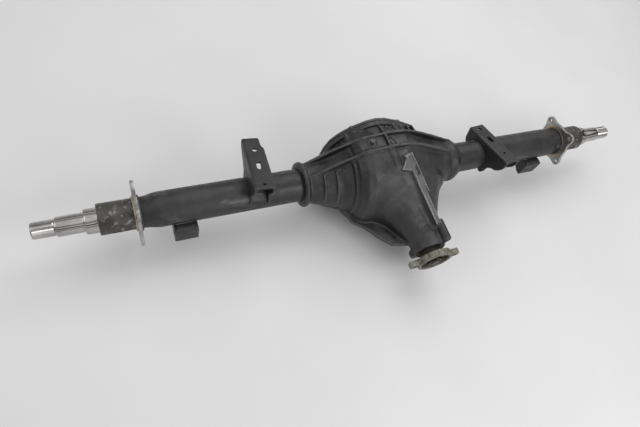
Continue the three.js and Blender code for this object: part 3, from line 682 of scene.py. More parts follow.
WEB_TURN = math.radians(22)
WEB_START = (22, -48)
WEB_HALF = 10
LIP_LOW, LIP_HIGH = 12.5, 16.5
WEB_SIDE = [(16, 140), (0, 159), (-207, 42), (-207, -20), (16, -20)]
LIP_SIDE = [(4, 140), (0, 163), (-118, 96), (-118, -20), (4, -20)]
PAD_OUTLINE = [(2, 4), (-41, -24), (-9, -44), (2, -44)]
PAD_DEPTH = 7
PAD_LOWEST = 100
HIGHLIGHT_ACROSS, HIGHLIGHT_DOWN = 0.5, 3  # how far past a rib's own side and top its painted highlight may reach


def web_frame(x, y):
    """Distances across and along the snout web, from its upper end."""
    x, y = x - WEB_START[0], y - WEB_START[1]
    across = x * math.cos(WEB_TURN) + y * math.sin(WEB_TURN)
    along = -x * math.sin(WEB_TURN) + y * math.cos(WEB_TURN)
    return across, along


def snout_rib(grid, bowl):
    """The straight web down the snout, then a lip on its right and the pointed pad at its upper end."""
    across, along = web_frame(grid.x, grid.y)
    web = slab(outline_distance(along, grid.z, WEB_SIDE), across, -WEB_HALF, WEB_HALF, 2)
    lip = slab(outline_distance(along, grid.z, LIP_SIDE), across, LIP_LOW, LIP_HIGH, 1)
    pad = np.maximum(bowl - PAD_DEPTH, outline_distance(across, along, PAD_OUTLINE))
    return web, np.minimum(lip, pad)


def paint_web_highlight(made):
    """The upper faces of the web, its lip and its pad get a paler coat: a painted highlight."""
    faces = made.data.polygons
    centres = (np.array([face.center for face in faces]) - np.array(AXLE)) / MM
    upward = np.array([face.normal.z for face in faces]) > 0.5
    height = centres[:, 2]
    across, along = web_frame(centres[:, 0], centres[:, 1])

    def on_rib(low, high, side):
        beside = np.abs(across - (low + high) / 2) < (high - low) / 2 + HIGHLIGHT_ACROSS
        return beside & (np.abs(outline_distance(along, height, side)) < HIGHLIGHT_DOWN)

    on_pad = (outline_distance(across, along, PAD_OUTLINE) < 0) & (height > PAD_LOWEST)
    lightened = on_rib(-WEB_HALF, WEB_HALF, WEB_SIDE) | on_rib(LIP_LOW, LIP_HIGH, LIP_SIDE) | on_pad
    for face, pale in zip(faces, upward & lightened):
        face.material_index = int(pale)


ARM_GUSSETS = [(-224, 81), (-187, 93)]  # station along the axle, and reach from its axis
RIM_GUSSET_STATIONS = (-128, -106, -84, -60, -36, -12, 30, 56, 84, 108)


def arm_gussets(grid):
    """Short upright ribs on the upper front of the long arm."""
    radius = np.sqrt(grid.y ** 2 + grid.z ** 2)
    upper_front = np.maximum(grid.y + 22, 8 - grid.z)
    for x, reach in ARM_GUSSETS:
        yield slab(np.maximum(radius - reach, upper_front), grid.x, x - 3, x + 3, 1.5)


def rim_gussets(grid):
    """Short webs between the rear rib and the cover rim, on the top and the bottom."""
    stations, heights = zip(*TOP_RIB)
    for x in RIM_GUSSET_STATIONS:
        height = np.interp(x, stations, heights) - 9
        for top in (height, height * UNDERSIDE):
            shape = [(34, 0), (34, top), (60, top * 0.93), (82, top * 0.9), (82, 0)]
            yield grid.plate(0, shape, x - 2.5, x + 2.5, 1.5)


RIDGE_SIDE = [(86, 100), (86, 152), (36, 168), (-13, 168), (-26, 150), (-26, 100)]
STRIP_SIDE = [(0, 100), (0, 162), (-30, 156), (-56, 143), (-74, 126), (-74, 100)]
STRIP_LEAN = 0.16
STRIP_HALF = 11


def crown_ridge(grid):
    """A thin ridge from the cover rim over the long ribs, a strip that starts below it and fades down,
    a small lug and the breather's pad."""
    yield grid.plate(0, RIDGE_SIDE, -29, -23, 2)
    along = grid.y + 14
    across = grid.x + 22 + along * STRIP_LEAN
    yield slab(outline_distance(along, grid.z, STRIP_SIDE), across, -STRIP_HALF, STRIP_HALF, 3)
    yield grid.capsule((-12, 14, 149), (-8, 2, 151), 10)
    yield grid.rod(2, 120, 158, 13, (VENT_X, VENT_Y, 0), 2)


# distance from the pinion axis, angle in degrees, two ends along it and radius
NOSE_LUGS = [(66, 55, -296, -224, 15), (52, 215, NOSE_Y, -274, 14)]


def nose_lugs(grid):
    """A long lug at the end of the web and a short one low on the left of the nose."""
    for out, degrees, low, high, radius in NOSE_LUGS:
        x, z = polar(out, math.radians(degrees), PINION_X, PINION_Z)
        yield grid.rod(1, low, high, radius, (x, 0, z), 5)


BOWL_HOLLOW = [
    (-158, 0), (-158, 48), (-138, 88), (-122, 122), (-100, 146), (50, 146), (72, 136), (100, 114),
    (150, 86), (184, 46), (192, 46), (192, 0),
]
SNOUT_BORE_R, SEAL_BORE_R = 42, 46.3
SNOUT_HOLLOW = [
    (-60, 0), (-60, 52), (-181, 52), (-181, SNOUT_BORE_R), (SEAL_SEAT_Y, SNOUT_BORE_R),
    (SEAL_SEAT_Y, SEAL_BORE_R), (NOSE_Y - 9, SEAL_BORE_R), (NOSE_Y - 9, 0),
]


def housing_hollow(grid):
    """The room inside: the bowl, the tubes' bores, the pinion's bore and the rear opening."""
    yield grid.spun(0, BOWL_HOLLOW)
    yield grid.rod(0, CAST_LEFT - 20, CAST_RIGHT + 20, TUBE_R + 0.6)
    yield grid.spun(1, SNOUT_HOLLOW, PINION_CENTRE)
    yield grid.plate(1, scaled(COVER_OUTLINE, 0.87), 0, COVER_FACE_Y + 9)


LOWER_WEB = [
    (-214, -60), (-157, -90), (-138, -143), (-105, -168), (-77, -205), (-36, -248), (16, -257),
    (70, -257), (70, -60),
]
LOWER_WEB_LOW, LOWER_WEB_HIGH = -54, -42
CREST_Z = 169.9
BASE_CLEAR = 0.4  # keeps a meshed flat just inside the housing's own base
FINE_FILLET, FILLET, WIDE_FILLET = 3, 5, 8
RIB_FILLET, WEB_FILLET, FLANK_FILLET, SNOUT_FILLET = 9, 16, 26, 38


def casting_body(grid):
    """The bowl with both arms, and the snout growing out of it."""
    flank = grid.spun(1, FLANK_PROFILE, FLANK_CENTRE)
    snout = blend(grid.spun(1, SNOUT_PROFILE, PINION_CENTRE), flank, FLANK_FILLET)
    return blend(grid.spun(0, CAST_PROFILE), snout, SNOUT_FILLET)


def with_ribs(grid, bowl):
    """The bowl with its cover rim, ribs, webs, gussets and lugs."""
    solid = blend(bowl, grid.plate(1, scaled(COVER_OUTLINE, 0.93), 0, COVER_FACE_Y - 12, 2), 6)
    solid = blend(solid, grid.plate(1, COVER_OUTLINE, COVER_FACE_Y - 14, COVER_FACE_Y, 2.5), FILLET)
    solid = blend(solid, merged(cast_ribs(grid), 7), RIB_FILLET)
    web, trim = snout_rib(grid, bowl)
    solid = blend(blend(solid, web, WEB_FILLET), trim, FINE_FILLET)
    solid = blend(solid, grid.plate(2, LOWER_WEB, LOWER_WEB_LOW, LOWER_WEB_HIGH, 3), WIDE_FILLET)
    solid = blend(solid, merged(arm_gussets(grid)), FILLET)
    solid = blend(solid, merged(rim_gussets(grid)), FILLET)
    for part in crown_ridge(grid):
        solid = blend(solid, part, FILLET)
    return blend(solid, merged(nose_lugs(grid)), WIDE_FILLET)


def with_openings(grid, solid):
    """The casting hollowed, drilled and machined flat on its faces."""
    for hollow in housing_hollow(grid):
        solid = carve(solid, hollow, 1)
    for x, z in cover_bolt_spots():
        solid = carve(solid, grid.rod(1, 66, COVER_FACE_Y + 9, BOLT_HOLE_R, (x, 0, z)))
    solid = carve(solid, grid.rod(2, 130, 175, 4.5, (VENT_X, VENT_Y, 0)))
    solid = np.maximum(solid, BASE_Z + BASE_CLEAR - grid.z)
    solid = np.maximum(solid, grid.y - COVER_FACE_Y)
    solid = np.maximum(solid, NOSE_Y - grid.y)
    return np.maximum(solid, grid.z - CREST_Z)


def housing_casting():
    grid = Grid((CAST_LEFT - 8, NOSE_Y - 8, -164), (CAST_RIGHT + 8, COVER_FACE_Y + 8, 178), 2.8)
    solid = with_ribs(grid, casting_body(grid)) + grid.sand(amount=0.45, pitch=11, seed=4)
    made = from_field("housing_casting", grid, with_openings(grid, solid))
    # the second finish is the painted highlight on the web's upper faces
    finish_piece(made, ["carrier_housing"], [PAINT, WEB_HIGHLIGHT_PAINT])
    paint_web_highlight(made)
    return made


# ---- rear cover ----
BULGE = [(-148, 60), (-112, 126), (-72, 152), (92, 152), (128, 122), (156, 60)]
PLUGS = {"fill_plug": (96, 160, 16), "drain_plug": (-34, 132, -102)}
COVER_FLANGE_T = 9
COVER_WALL = 6
FIN_STATIONS = (-96, -64, -32, 0, 32, 64, 96)
FIN_HALF, FIN_HEIGHT = 3.2, 7
PLUG_BOSS_R, PLUG_HOLE_R = 19, 11.3
SCREW_PAD_R = 9


def cover_bulge(grid, grow, share):
    """The dome grown outwards by `grow`, kept to a share of the cover's outline."""
    outline = [(x + grow * math.copysign(1, x), radius + grow) for x, radius in BULGE]
    outline = [(outline[0][0], 0)] + outline + [(outline[-1][0], 0)]
    flat = grid.plate(1, scaled(COVER_OUTLINE, share), COVER_SEAT_Y, 300)
    return common(grid.spun(0, outline), flat, 8)


def cover_fins(grid):
    """Upright ribs that stand a little proud of the dome, shorter towards its sides."""
    blank = cover_bulge(grid, FIN_HEIGHT, 0.86)
    for x in FIN_STATIONS:
        reach = 122 - abs(x) * 0.35
        shape = [(COVER_SEAT_Y, -reach), (200, -reach), (200, reach), (COVER_SEAT_Y, reach)]
        yield np.maximum(grid.plate(0, shape, x - FIN_HALF, x + FIN_HALF, 2), blank)


def cover_casting():
    seat = COVER_SEAT_Y
    back = seat - 9
    grid = Grid((-188, seat - 8, -164), (188, 178, 170), 2.5)
    solid = grid.plate(1, COVER_OUTLINE, seat, seat + COVER_FLANGE_T, 2.2)
    solid = blend(solid, cover_bulge(grid, 0, 0.85), 12)
    solid = blend(solid, merged(cover_fins(grid)), 6)
    for x, end, z in PLUGS.values():
        solid = blend(solid, grid.rod(1, seat, end, PLUG_BOSS_R, (x, 0, z), 2), WIDE_FILLET)
    for x, z in cover_bolt_spots():
        pad = grid.rod(1, seat + 2, seat + COVER_FLANGE_T + 0.2, SCREW_PAD_R, (x, 0, z), 1)
        solid = blend(solid, pad, FINE_FILLET)
    solid = solid + grid.sand(amount=0.3, pitch=10, seed=8)
    solid = carve(solid, np.maximum(cover_bulge(grid, -COVER_WALL, 0.8), back - grid.y), 1)
    solid = carve(solid, grid.plate(1, scaled(COVER_OUTLINE, 0.78), back, seat + 3), 1)
    for x, z in cover_bolt_spots():
        solid = carve(solid, grid.rod(1, back, seat + 12, BOLT_HOLE_R, (x, 0, z)))
    for x, end, z in PLUGS.values():
        solid = carve(solid, grid.rod(1, back, end + 9, PLUG_HOLE_R, (x, 0, z)))
    solid = np.maximum(solid, seat - grid.y)
    solid = np.maximum(solid, BASE_Z + BASE_CLEAR - grid.z)
    made = from_field("cover_casting", grid, solid)
    return finish_piece(made, ["rear_cover"], [COVER_PAINT])


# ---- fasteners ----
FASTENER_SEGMENTS = 48
SCREW_FLATS, SCREW_HEAD_T = 5.4, 5.2  # half width across the flats, and the head's height
SCREW_WASHER_R, SCREW_R = 6.6, 4
SCREW_END_Y = 70
VENT_FLATS = 6.3
PLUG_R = 11


def cover_screw(number, x, z):
    """A flanged hexagon screw through the cover's rim into the housing."""
    flats = prism_radius(6, SCREW_FLATS, FASTENER_SEGMENTS)
    crown = np.minimum(flats, SCREW_FLATS * 1.04)
    seat = COVER_SEAT_Y + COVER_FLANGE_T + 0.3
    top = seat + SCREW_HEAD_T
    rings = [
        (SCREW_END_Y, SCREW_R * 0.7), (SCREW_END_Y + 1.2, SCREW_R), (seat + 0.3, SCREW_R),
        (seat + 0.3, SCREW_WASHER_R - 0.4), (seat + 0.7, SCREW_WASHER_R), (seat + 1.3, SCREW_WASHER_R),
        (seat + 2.0, SCREW_WASHER_R - 0.8), (seat + 2.1, flats), (top - 1.4, flats), (top - 0.5, crown),
        (top, SCREW_FLATS * 0.9), (top, SCREW_FLATS * 0.62), (top - 0.5, SCREW_FLATS * 0.56),
    ]
    made = revolved(f"cover_screw_{number}", rings, 1, (x, 0, z), FASTENER_SEGMENTS)
    return finish_piece(made, [f"cover_bolt_{number}"], [ZINC])


def square_plug(node, x, back, z):
    """A threaded plug with a square head."""
    square = prism_radius(4, 6, FASTENER_SEGMENTS)
    rings = [
        (back - 14, 9.5), (back - 13, PLUG_R), (back + 0.5, PLUG_R), (back + 0.6, 12.5), (back + 3.5, 12.5),
        (back + 4, 11.5), (back + 4.1, square), (back + 8, square), (back + 9, square * 0.86),
    ]
    made = revolved(f"{node}_body", rings, 1, (x, 0, z), FASTENER_SEGMENTS)
    return finish_piece(made, [node], [BLACK_STEEL])


def breather_vent():
    """A short stem, a hexagon and a domed cap."""
    flats = prism_radius(6, VENT_FLATS, FASTENER_SEGMENTS)
    rings = [
        (141, 3), (142, 4), (158.3, 4), (158.4, flats), (161.5, flats), (161.7, 5), (162.2, 5),
        (162.6, 7.4), (164, 7.9), (167, 7.9), (168.4, 7), (169, 4),
    ]
    made = revolved("vent_body", rings, 2, (VENT_X, VENT_Y, 0), FASTENER_SEGMENTS)
    return finish_piece(made, ["breather_vent"], [PAINT])


def all_fasteners():
    for number, (x, z) in enumerate(cover_bolt_spots(), 1):
        cover_screw(number, x, z)
    for node, (x, back, z) in PLUGS.items():
        square_plug(node, x, back, z)
    breather_vent()


# ---- tubes, spindles and brake flanges ----
WELD_SIZE = 4.2
WELD_RIPPLES, RIPPLE_HEIGHT = 72, 1.1
BEAD_CORNERS = 12
TUBE_WALL = 8
RING_PITCH = 22  # the longest step along a tube between two rings of its mesh


def ripple(seed, segments):
    """Uneven overlapping ripples of a hand-laid weld, round a full turn."""
    angles = np.linspace(0, 2 * math.pi, segments, endpoint=False)
    random = np.random.default_rng(seed)
    swells = [random.uniform(-1, 1) * np.sin(k * angles + random.uniform(0, 6.28)) for k in range(2, 9)]
    drift = sum(swells) / 5
    scale = np.abs(np.sin(WELD_RIPPLES * angles / 2 + drift)) ** 0.6
    return RIPPLE_HEIGHT * (scale - 0.5) + RIPPLE_HEIGHT * 0.5 * drift


def weld_bead(name, x, radius, material, seed):
    """A rippled bead round the axle at one station."""
    segments = 240
    wave = ripple(seed, segments)
    rings = []
    for k in range(BEAD_CORNERS):
        turn = k / BEAD_CORNERS * 2 * math.pi
        outward = max(0.0, math.sin(turn))
        along = (WELD_SIZE + wave * 0.5) * math.cos(turn)
        rings.append((x + along, radius + (WELD_SIZE + wave * outward) * math.sin(turn)))
    made = revolved(name, rings, 0, segments=segments, closed=True, angle_deg=80)
    return finish_piece(made, (), [material])


def axle_tube(side, word, inner):
    """A drawn tube that necks down to the spindle, meshed in short steps along its length."""
    end = BRAKE_FACE - 12.5
    bore = TUBE_R - TUBE_WALL
    outline = softened([
        (side * inner, bore), (side * inner, TUBE_R), (side * 706, TUBE_R), (side * 720, 49),
        (side * 738, 45), (side * end, 44), (side * end, 36), (side * 730, 37), (side * 700, bore),
    ], 5, 4)
    rings = []
    for (a, r), (b, s) in zip(outline, outline[1:] + outline[:1]):
        steps = max(1, int(math.hypot(b - a, s - r) / RING_PITCH))
        rings += [(a + (b - a) * k / steps, r + (s - r) * k / steps) for k in range(steps)]
    made = revolved(f"drawn_tube_{word}", rings, 0, segments=112, closed=True)
    return finish_piece(made, [f"axle_tube_{word}"], [TUBE_PAINT])


THREAD_PITCH = 1.5
THREAD_ROOT_R, THREAD_CREST_R = 22.55, 22.9
COLLAR_R, INNER_JOURNAL_R, OUTER_JOURNAL_R, NECK_R = 44, 35, 27, 21.5
KEYWAY_HALF, KEYWAY_FLOOR = 4, 18.6
COLLAR_FLAT = ((788, 834), -40.5, (-14, 24))  # ends along the axle, depth, and heights


def spindle_rings():
    """The right-hand outline: collar, two ground journals, relief, thread and tip."""
    start, shoulder, neck = BRAKE_FACE - 12, HUB_SHOULDER, THREAD_START
    body = softened([
        (start, BORE_R), (start, COLLAR_R), (shoulder - 2, COLLAR_R), (shoulder, 42),
        (shoulder, INNER_JOURNAL_R), (shoulder + 29, INNER_JOURNAL_R), (897, 34), (899, 27.4),
        (901, OUTER_JOURNAL_R), (neck - 4, OUTER_JOURNAL_R), (neck - 2, 25.5), (neck - 2, NECK_R),
        (neck + 1, NECK_R),
    ], 1.2, 2)
    threads = []
    for k in range(int((SPINDLE_TIP - 4 - neck - 2) / THREAD_PITCH)):
        x = neck + 2 + k * THREAD_PITCH
        threads += [(x, THREAD_ROOT_R), (x + THREAD_PITCH * 0.45, THREAD_CREST_R),
                    (x + THREAD_PITCH * 0.6, THREAD_CREST_R)]
    tip = softened([(SPINDLE_TIP - 3, 22.4), (SPINDLE_TIP, 20.5), (SPINDLE_TIP, BORE_R + 2),
                    (SPINDLE_TIP - 3, BORE_R)], 0.8, 2)
    return body + threads + tip


def spindle(side, word):
    """The stepped spindle, with a keyway along its thread and a flat on its collar."""
    rings = [(side * x, radius) for x, radius in spindle_rings()]
    made = revolved(f"turned_spindle_{word}", rings, 0, segments=96, closed=True, angle_deg=28)
    key_ends = sorted((side * (THREAD_START + 4), side * (SPINDLE_TIP + 2)))
    (near, far), depth, heights = COLLAR_FLAT
    cut_with(made, [
        block("keyway", *key_ends, -KEYWAY_HALF, KEYWAY_HALF, KEYWAY_FLOOR, 30),
        block("flat", *sorted((side * near, side * far)), -60, depth, *heights),
    ])
    finish_piece(made, [f"spindle_{word}"], [STEEL, SCALE])
    leave_scale_on_collar(made)
    return made


def leave_scale_on_collar(made):
    """The round faces of the collar keep their forging scale. Its ends and the bore are turned."""
    for face in made.data.polygons:
        radius = math.hypot(face.center.y - AXLE[1], face.center.z - AXLE[2]) / MM
        on_collar = abs(face.center.x) / MM < HUB_SHOULDER - 1 and radius > INNER_JOURNAL_R + 1
        face.material_index = int(on_collar and abs(face.normal.x) < 0.7)


BRAKE_PLATE_T = 10
BRAKE_DISC_R, BRAKE_EAR_R, BRAKE_EAR_REACH, BRAKE_HOLE_R = 67, 14, 78, 6.5


def brake_flange(side, word):
    """A plate with four ears, a bore for the spindle and a bolt hole in each ear."""
    low, high = sorted((side * BRAKE_FACE, side * (BRAKE_FACE - BRAKE_PLATE_T)))
    grid = Grid((low - 5, -98, -98), (high + 5, 98, 98), 1.1)
    flat = disc_distance(grid.y, grid.z, (0, 0), BRAKE_DISC_R)
    ears = [polar(BRAKE_EAR_REACH, angle) for angle in BRAKE_EAR_ANGLES]
    for ear in ears:
        flat = blend(flat, disc_distance(grid.y, grid.z, ear, BRAKE_EAR_R), 34)
    solid = slab(flat + 0.4, grid.x, low, high, 1.4)
    solid = carve(solid, grid.rod(0, low - 5, high + 5, COLLAR_R + 0.4), 0.8)
    for ear in ears:
        solid = carve(solid, grid.rod(0, low - 5, high + 5, BRAKE_HOLE_R, (0, *ear)), 1.5)
    made = from_field(f"brake_plate_{word}", grid, solid)
    return finish_piece(made, [f"brake_flange_{word}"], [PLATE])


# ---- brackets ----
# Side outlines [along, up] of the two seats: straight legs on the left, a wrap round the tube on the right.
TALL_WALL = [
    (112, 118), (112, 94), (56, 44), (58, 2), (-58, 2), (-56, 44), (-98, 94), (-98, 118),
]
LOW_WALL = [
    (70, 72), (72, 24), (58, 2), (20, -6), (-20, -30), (-44, -44), (-58, -30), (-66, -4),
    (-82, 8), (-100, 12), (-118, 30), (-128, 48), (-128, 72),
]
SEAT_HALF = 30
SEAT_STEP = 8
SHORT_WALL = 46  # how far a stepped seat's right wall stops before its back end
SHEET = 7
TUBE_GAP = 0.5


def seated(points, side):
    """Points swung in the seat's plane, then tipped about the axle so that the seat's front rises."""
    c, s = math.cos(side * SEAT_YAW), math.sin(side * SEAT_YAW)
    x, y, z = points[:, 0], points[:, 1], points[:, 2]
    x, y = x * c - y * s, x * s + y * c
    c, s = math.cos(SEAT_TILT), math.sin(SEAT_TILT)
    return np.stack([x + side * PERCH_X, y * c + z * s, -y * s + z * c], 1)


def seat_web(back, front, stepped):
    """Plan of the seat plate. A stepped one is narrower near its back end."""
    half = SEAT_HALF
    narrow = half - SEAT_STEP if stepped else half
    return softened([(-half, front), (half, front), (half, back - 54), (narrow, back - 34), (narrow, back),
                     (-half, back)], 9, 4)


def seat_holes(grid, seat, rear_hole):
    """A hole near each end of the seat plate and a slot between them."""
    for y, radius in ((rear_hole, 7), (-82, 5)):
        yield grid.rod(2, seat - 20, seat + 9, radius, (0, y, 0))
    slot = disc_distance(grid.x, np.maximum(np.abs(grid.y + 7) - 8, 0), (0, 0), 7)
    yield slab(slot, grid.z, seat - 20, seat + 9)


def spring_perch(side, word, wall, rear_hole):
    """A pressed seat plate folded down into two side walls that stand on the tube."""
    (back, seat), front = wall[0], wall[-1][0]
    lowest = min(z for _, z in wall)
    stepped = side < 0
    grid = Grid((-37, front - 6, lowest - 6), (37, back + 8, seat + 5), 1.5)
    solid = grid.plate(2, seat_web(back, front, stepped), seat - SHEET - 1, seat, 2.4)
    outline = softened(wall, 9, 3)
    for low in (-SEAT_HALF, SEAT_HALF - SHEET):
        cheek = grid.plate(0, outline, low, low + SHEET, 2)
        if low > 0 and stepped:
            cheek = np.maximum(cheek, grid.y - (back - SHORT_WALL))
        solid = blend(solid, cheek, 7)
    section = softened([(-SEAT_HALF, seat - 40), (-SEAT_HALF, seat), (SEAT_HALF, seat),
                        (SEAT_HALF, seat - 40)], 7, 4)
    fold = grid.plate(1, section, front - 5, back + 9)
    solid = np.where(grid.z > seat - 12, np.maximum(solid, fold), solid)
    swing = side * SEAT_YAW
    from_tube = np.sqrt(grid.z ** 2 + (grid.x * math.sin(swing) + grid.y * math.cos(swing)) ** 2)
    solid = carve(solid, from_tube - TUBE_R - TUBE_GAP, 1)
    for hole in seat_holes(grid, seat, rear_hole):
        solid = carve(solid, hole, 1.5)
    points, quads = skin(grid, solid)
    made = mesh_object(f"pressed_perch_{word}", seated(points, side), quads)
    return finish_piece(made, [f"spring_perch_{word}"], [BRACKET])


def shock_bracket(side, word):
    """A boxed tab under the tube: a shelf folded down into the face, with two side walls behind it."""
    half, face_y, back_y, top, bottom = 34, -70, -8, -22, -88
    centre = side * SHOCK_X
    grid = Grid((centre - half - 5, face_y - 5, bottom - 5), (centre + half + 5, 2, -12), 1.5)
    sheet = softened([(back_y, top), (face_y, top), (face_y, bottom), (face_y + SHEET, bottom),
                      (face_y + SHEET, top - SHEET), (back_y, top - SHEET)], 12, 5)
    solid = grid.plate(0, sheet, centre - half, centre + half, 1.5)
    wall = softened([(face_y, top), (face_y, bottom + 6), (face_y + 14, bottom + 2), (back_y, -58),
                     (back_y, top)], 12, 4)
    for low in (-half, half - SHEET + 1):
        solid = blend(solid, grid.plate(0, wall, centre + low, centre + low + SHEET - 1, 2), FILLET)
    corners = softened([(-half, bottom), (half, bottom), (half, top), (-half, top)], 9, 4)
    solid = np.maximum(solid, grid.plate(1, [(centre + x, z) for x, z in corners], face_y - 1, 4))
    solid = carve(solid, grid.rod(0, centre - 60, centre + 60, TUBE_R + TUBE_GAP), 1)
    made = from_field(f"pressed_shock_bracket_{word}", grid, solid)
    return finish_piece(made, [f"shock_bracket_{word}"], [BRACKET])


# ---- pinion end ----
FLANGE_BACK_Y, HUB_BACK_Y = FLANGE_FACE_Y + 22, -260
FLANGE_R, SCALLOPS, SCALLOP_REACH, SCALLOP_R = 58, 12, 62, 7
DRIVE_EAR_SIDE = [(40, -15), (84, -13), (84, 13), (40, 15)]
DRIVE_HOLE_REACH, DRIVE_HOLE_R = 70, 5.5
SHAFT_HOLE_R = 22.4
NUT_T, NUT_FLATS, NUT_WASHER_R, NUT_BORE_R = 14.7, 21.6, 30, 16.4


def flange_disc(grid, u, v):
    """The scalloped disc with its two square ears."""
    disc = slab(disc_distance(u, v, (0, 0), FLANGE_R), grid.y, FLANGE_FACE_Y, FLANGE_BACK_Y, 2)
    for angle in even_angles(SCALLOPS):
        notch = disc_distance(u, v, polar(SCALLOP_REACH, angle), SCALLOP_R)
        disc = carve(disc, slab(notch, grid.y, FLANGE_FACE_Y + 5, FLANGE_BACK_Y + 9), 2)
    for angle in DRIVE_EAR_ANGLES:
        out = u * math.cos(angle) + v * math.sin(angle)
        aside = -u * math.sin(angle) + v * math.cos(angle)
        ear = outline_distance(out, aside, softened(DRIVE_EAR_SIDE, 7, 4))
        disc = blend(disc, slab(ear, grid.y, FLANGE_FACE_Y + 4, FLANGE_BACK_Y, 2), 4)
    return disc


def pinion_flange():
    """The drive flange: its disc, the hub behind it, a deep recess in its face and its holes."""
    face, back = FLANGE_FACE_Y, FLANGE_BACK_Y
    low, high = (PINION_X - 90, face - 5, PINION_Z - 66), (PINION_X + 90, HUB_BACK_Y + 5, PINION_Z + 66)
    grid = Grid(low, high, 1.5)
    solid = flange_disc(grid, grid.x - PINION_X, grid.z - PINION_Z)
    hub = [(back - 4, 0), (back - 4, 40), (back + 6, 36), (back + 12, 34), (HUB_BACK_Y, 34),
           (HUB_BACK_Y, 0)]
    solid = blend(solid, grid.spun(1, hub, PINION_CENTRE), 6)
    recess = [(face - 6, 0), (face - 6, 47.5), (face + 1, 47), (face + 13, 45), (face + 15, 41),
              (face + 15, 0)]
    solid = carve(solid, grid.spun(1, recess, PINION_CENTRE), 1.5)
    solid = carve(solid, grid.rod(1, face, HUB_BACK_Y + 9, SHAFT_HOLE_R, PINION_CENTRE), 0.8)
    for angle in DRIVE_EAR_ANGLES:
        x, z = polar(DRIVE_HOLE_REACH, angle, PINION_X, PINION_Z)
        solid = carve(solid, grid.rod(1, face - 5, back + 5, DRIVE_HOLE_R, (x, 0, z)), 1.2)
    made = from_field("forged_pinion_flange", grid, solid)
    return finish_piece(made, ["pinion_flange"], [FORGED], PINION)


def pinion_nut():
    """The hexagon nut on the pinion's thread, with a washer face under it."""
    low, high = FLANGE_FACE_Y, FLANGE_FACE_Y + NUT_T
    segments = 72
    flats = prism_radius(6, NUT_FLATS, segments)
    crown = np.minimum(flats, NUT_FLATS + 1)
    rings = [
        (high, NUT_BORE_R), (high, NUT_WASHER_R), (high - 3.4, NUT_WASHER_R), (high - 4, NUT_WASHER_R - 1),
        (high - 4.2, flats), (low + 1.6, flats), (low, crown), (low, NUT_BORE_R + 1),
        (low + 1.2, NUT_BORE_R),
    ]
    made = revolved("staked_nut", rings, 1, PINION_CENTRE, segments, closed=True)
    return finish_piece(made, ["pinion_nut"], [OILY_STEEL], PINION)


housing_casting()
cover_casting()
all_fasteners()
for sign, name, tube_start in ((-1, "left", 160), (1, "right", 194)):
    axle_tube(sign, name, tube_start)
    spindle(sign, name)
    brake_flange(sign, name)
    weld_bead(f"flange_weld_outer_{name}", sign * (BRAKE_FACE + 0.5), 46, WELD, seed=11 + sign)
    weld_bead(f"flange_weld_inner_{name}", sign * (BRAKE_FACE - 11), 47, TUBE_PAINT, seed=21 + sign)
    shock_bracket(sign, name)
spring_perch(-1, "left", TALL_WALL, rear_hole=60)
spring_perch(1, "right", LOW_WALL, rear_hole=50)
pinion_flange()
pinion_nut()

# ---- what the frame shows of its own ----
slots = {row["node"]: row["material_slot"] for row in frame["record"]["subparts"]}
for node_name, node_object in frame["nodes"].items():
    if not node_object.hide_render:
        node_object.data.materials.clear()
        shown = OILY_STEEL if node_name == "pinion_shaft" else SLOT_FINISH[slots[node_name]]
        node_object.data.materials.append(shown)

# ---- floor, light and camera ----
EYE_FROM_AXLE = (-0.7988, -0.7154, 1.3252)
EYE_DIRECTION = (0.353, 0.389, -0.851)
EYE_UP = (0.182, 0.864, 0.470)
SENSOR_WIDTH, FOCAL_LENGTH = 36, 28.78
FLOOR_REACH = 14
# heights of the studio's bands, from 0 at the horizon to 1 overhead, and their brightness
STUDIO_BANDS = [
    (0.10, 0.75), (0.15, 0.12), (0.21, 0.12), (0.25, 0.95), (0.33, 0.95), (0.38, 0.10),
    (0.52, 0.10), (0.57, 1.0), (0.63, 1.0), (0.70, 0.35), (0.82, 0.40), (0.88, 1.0),
]


def floor():
    """A pale, faintly clouded studio floor."""
    look = Finish("floor_finish")
    cloud = look.noise(1.6, 3)
    look.set(Base_Color=look.mix(look.ramp(cloud, *MIDDLE), (0.735, 0.731, 0.738), (0.70, 0.696, 0.702)),
             Roughness=0.9, Normal=look.bump(look.noise(60, 2), 0.0006, 0.3))
    corners = [(-1, -1), (1, -1), (1, 1), (-1, 1)]
    mesh = bpy.data.meshes.new("floor")
    mesh.from_pydata([(x * FLOOR_REACH, y * FLOOR_REACH, 0) for x, y in corners], [], [(0, 1, 2, 3)])
    made = linked("floor", mesh)
    made.data.materials.append(look.material)


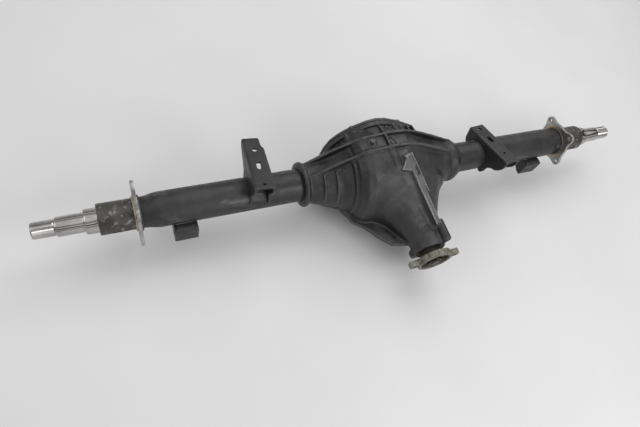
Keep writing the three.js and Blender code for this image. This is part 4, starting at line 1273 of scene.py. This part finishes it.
def area_light(name, location, target, size, power):
    """A round soft light aimed at a target."""
    light = bpy.data.lights.new(name, "AREA")
    light.shape, light.size, light.energy = "DISK", size, power
    made = linked(name, light)
    made.location = location
    made.rotation_euler = (Vector(target) - Vector(location)).to_track_quat("-Z", "Y").to_euler()


def camera():
    """A camera ahead of the axle on its left, looking down at it."""
    lens = bpy.data.cameras.new("camera")
    lens.sensor_width = SENSOR_WIDTH
    lens.lens = FOCAL_LENGTH
    lens.clip_start, lens.clip_end = 0.02, 60
    made = linked("camera", lens)
    look = Vector(EYE_DIRECTION).normalized()
    right = look.cross(Vector(EYE_UP)).normalized()
    turn = Matrix((right, right.cross(look), -look)).transposed()
    made.matrix_world = Matrix.Translation(Vector(AXLE) + Vector(EYE_FROM_AXLE)) @ turn.to_4x4()
    bpy.context.scene.camera = made


def studio_world():
    """A soft grey studio: bright above, with darker bands that give turned steel its lengthwise streaks."""
    world = bpy.data.worlds.new("studio")
    world.use_nodes = True
    tree = world.node_tree
    direction = tree.nodes.new("ShaderNodeTexCoord").outputs["Generated"]
    parts = tree.nodes.new("ShaderNodeSeparateXYZ")
    tree.links.new(direction, parts.inputs[0])
    ramp = tree.nodes.new("ShaderNodeValToRGB")
    tree.links.new(parts.outputs["Z"], ramp.inputs["Fac"])
    stops = ramp.color_ramp.elements
    for place, level in STUDIO_BANDS:
        stops.new(place).color = (level, level, level, 1)
    stops[0].color = (0.75, 0.75, 0.75, 1)
    stops[-1].color = (1.0, 1.0, 1.0, 1)
    background = tree.nodes["Background"]
    tree.links.new(ramp.outputs["Color"], background.inputs["Color"])
    background.inputs["Strength"].default_value = 0.80
    bpy.context.scene.world = world


floor()
area_light("key", (1.1, 1.5, 2.7), (0.1, 0.1, 0.1), size=2.6, power=40)
area_light("side", (-2.6, 0.4, 2.0), (-0.3, 0.1, 0.1), size=2.0, power=14)
area_light("front", (0.9, -2.0, 2.0), (0, 0, 0.15), size=1.4, power=22)
area_light("low", (0.1, -2.4, 0.8), (0, 0, 0.1), size=1.4, power=8)
studio_world()
bpy.context.scene.view_settings.view_transform = "Standard"
camera()
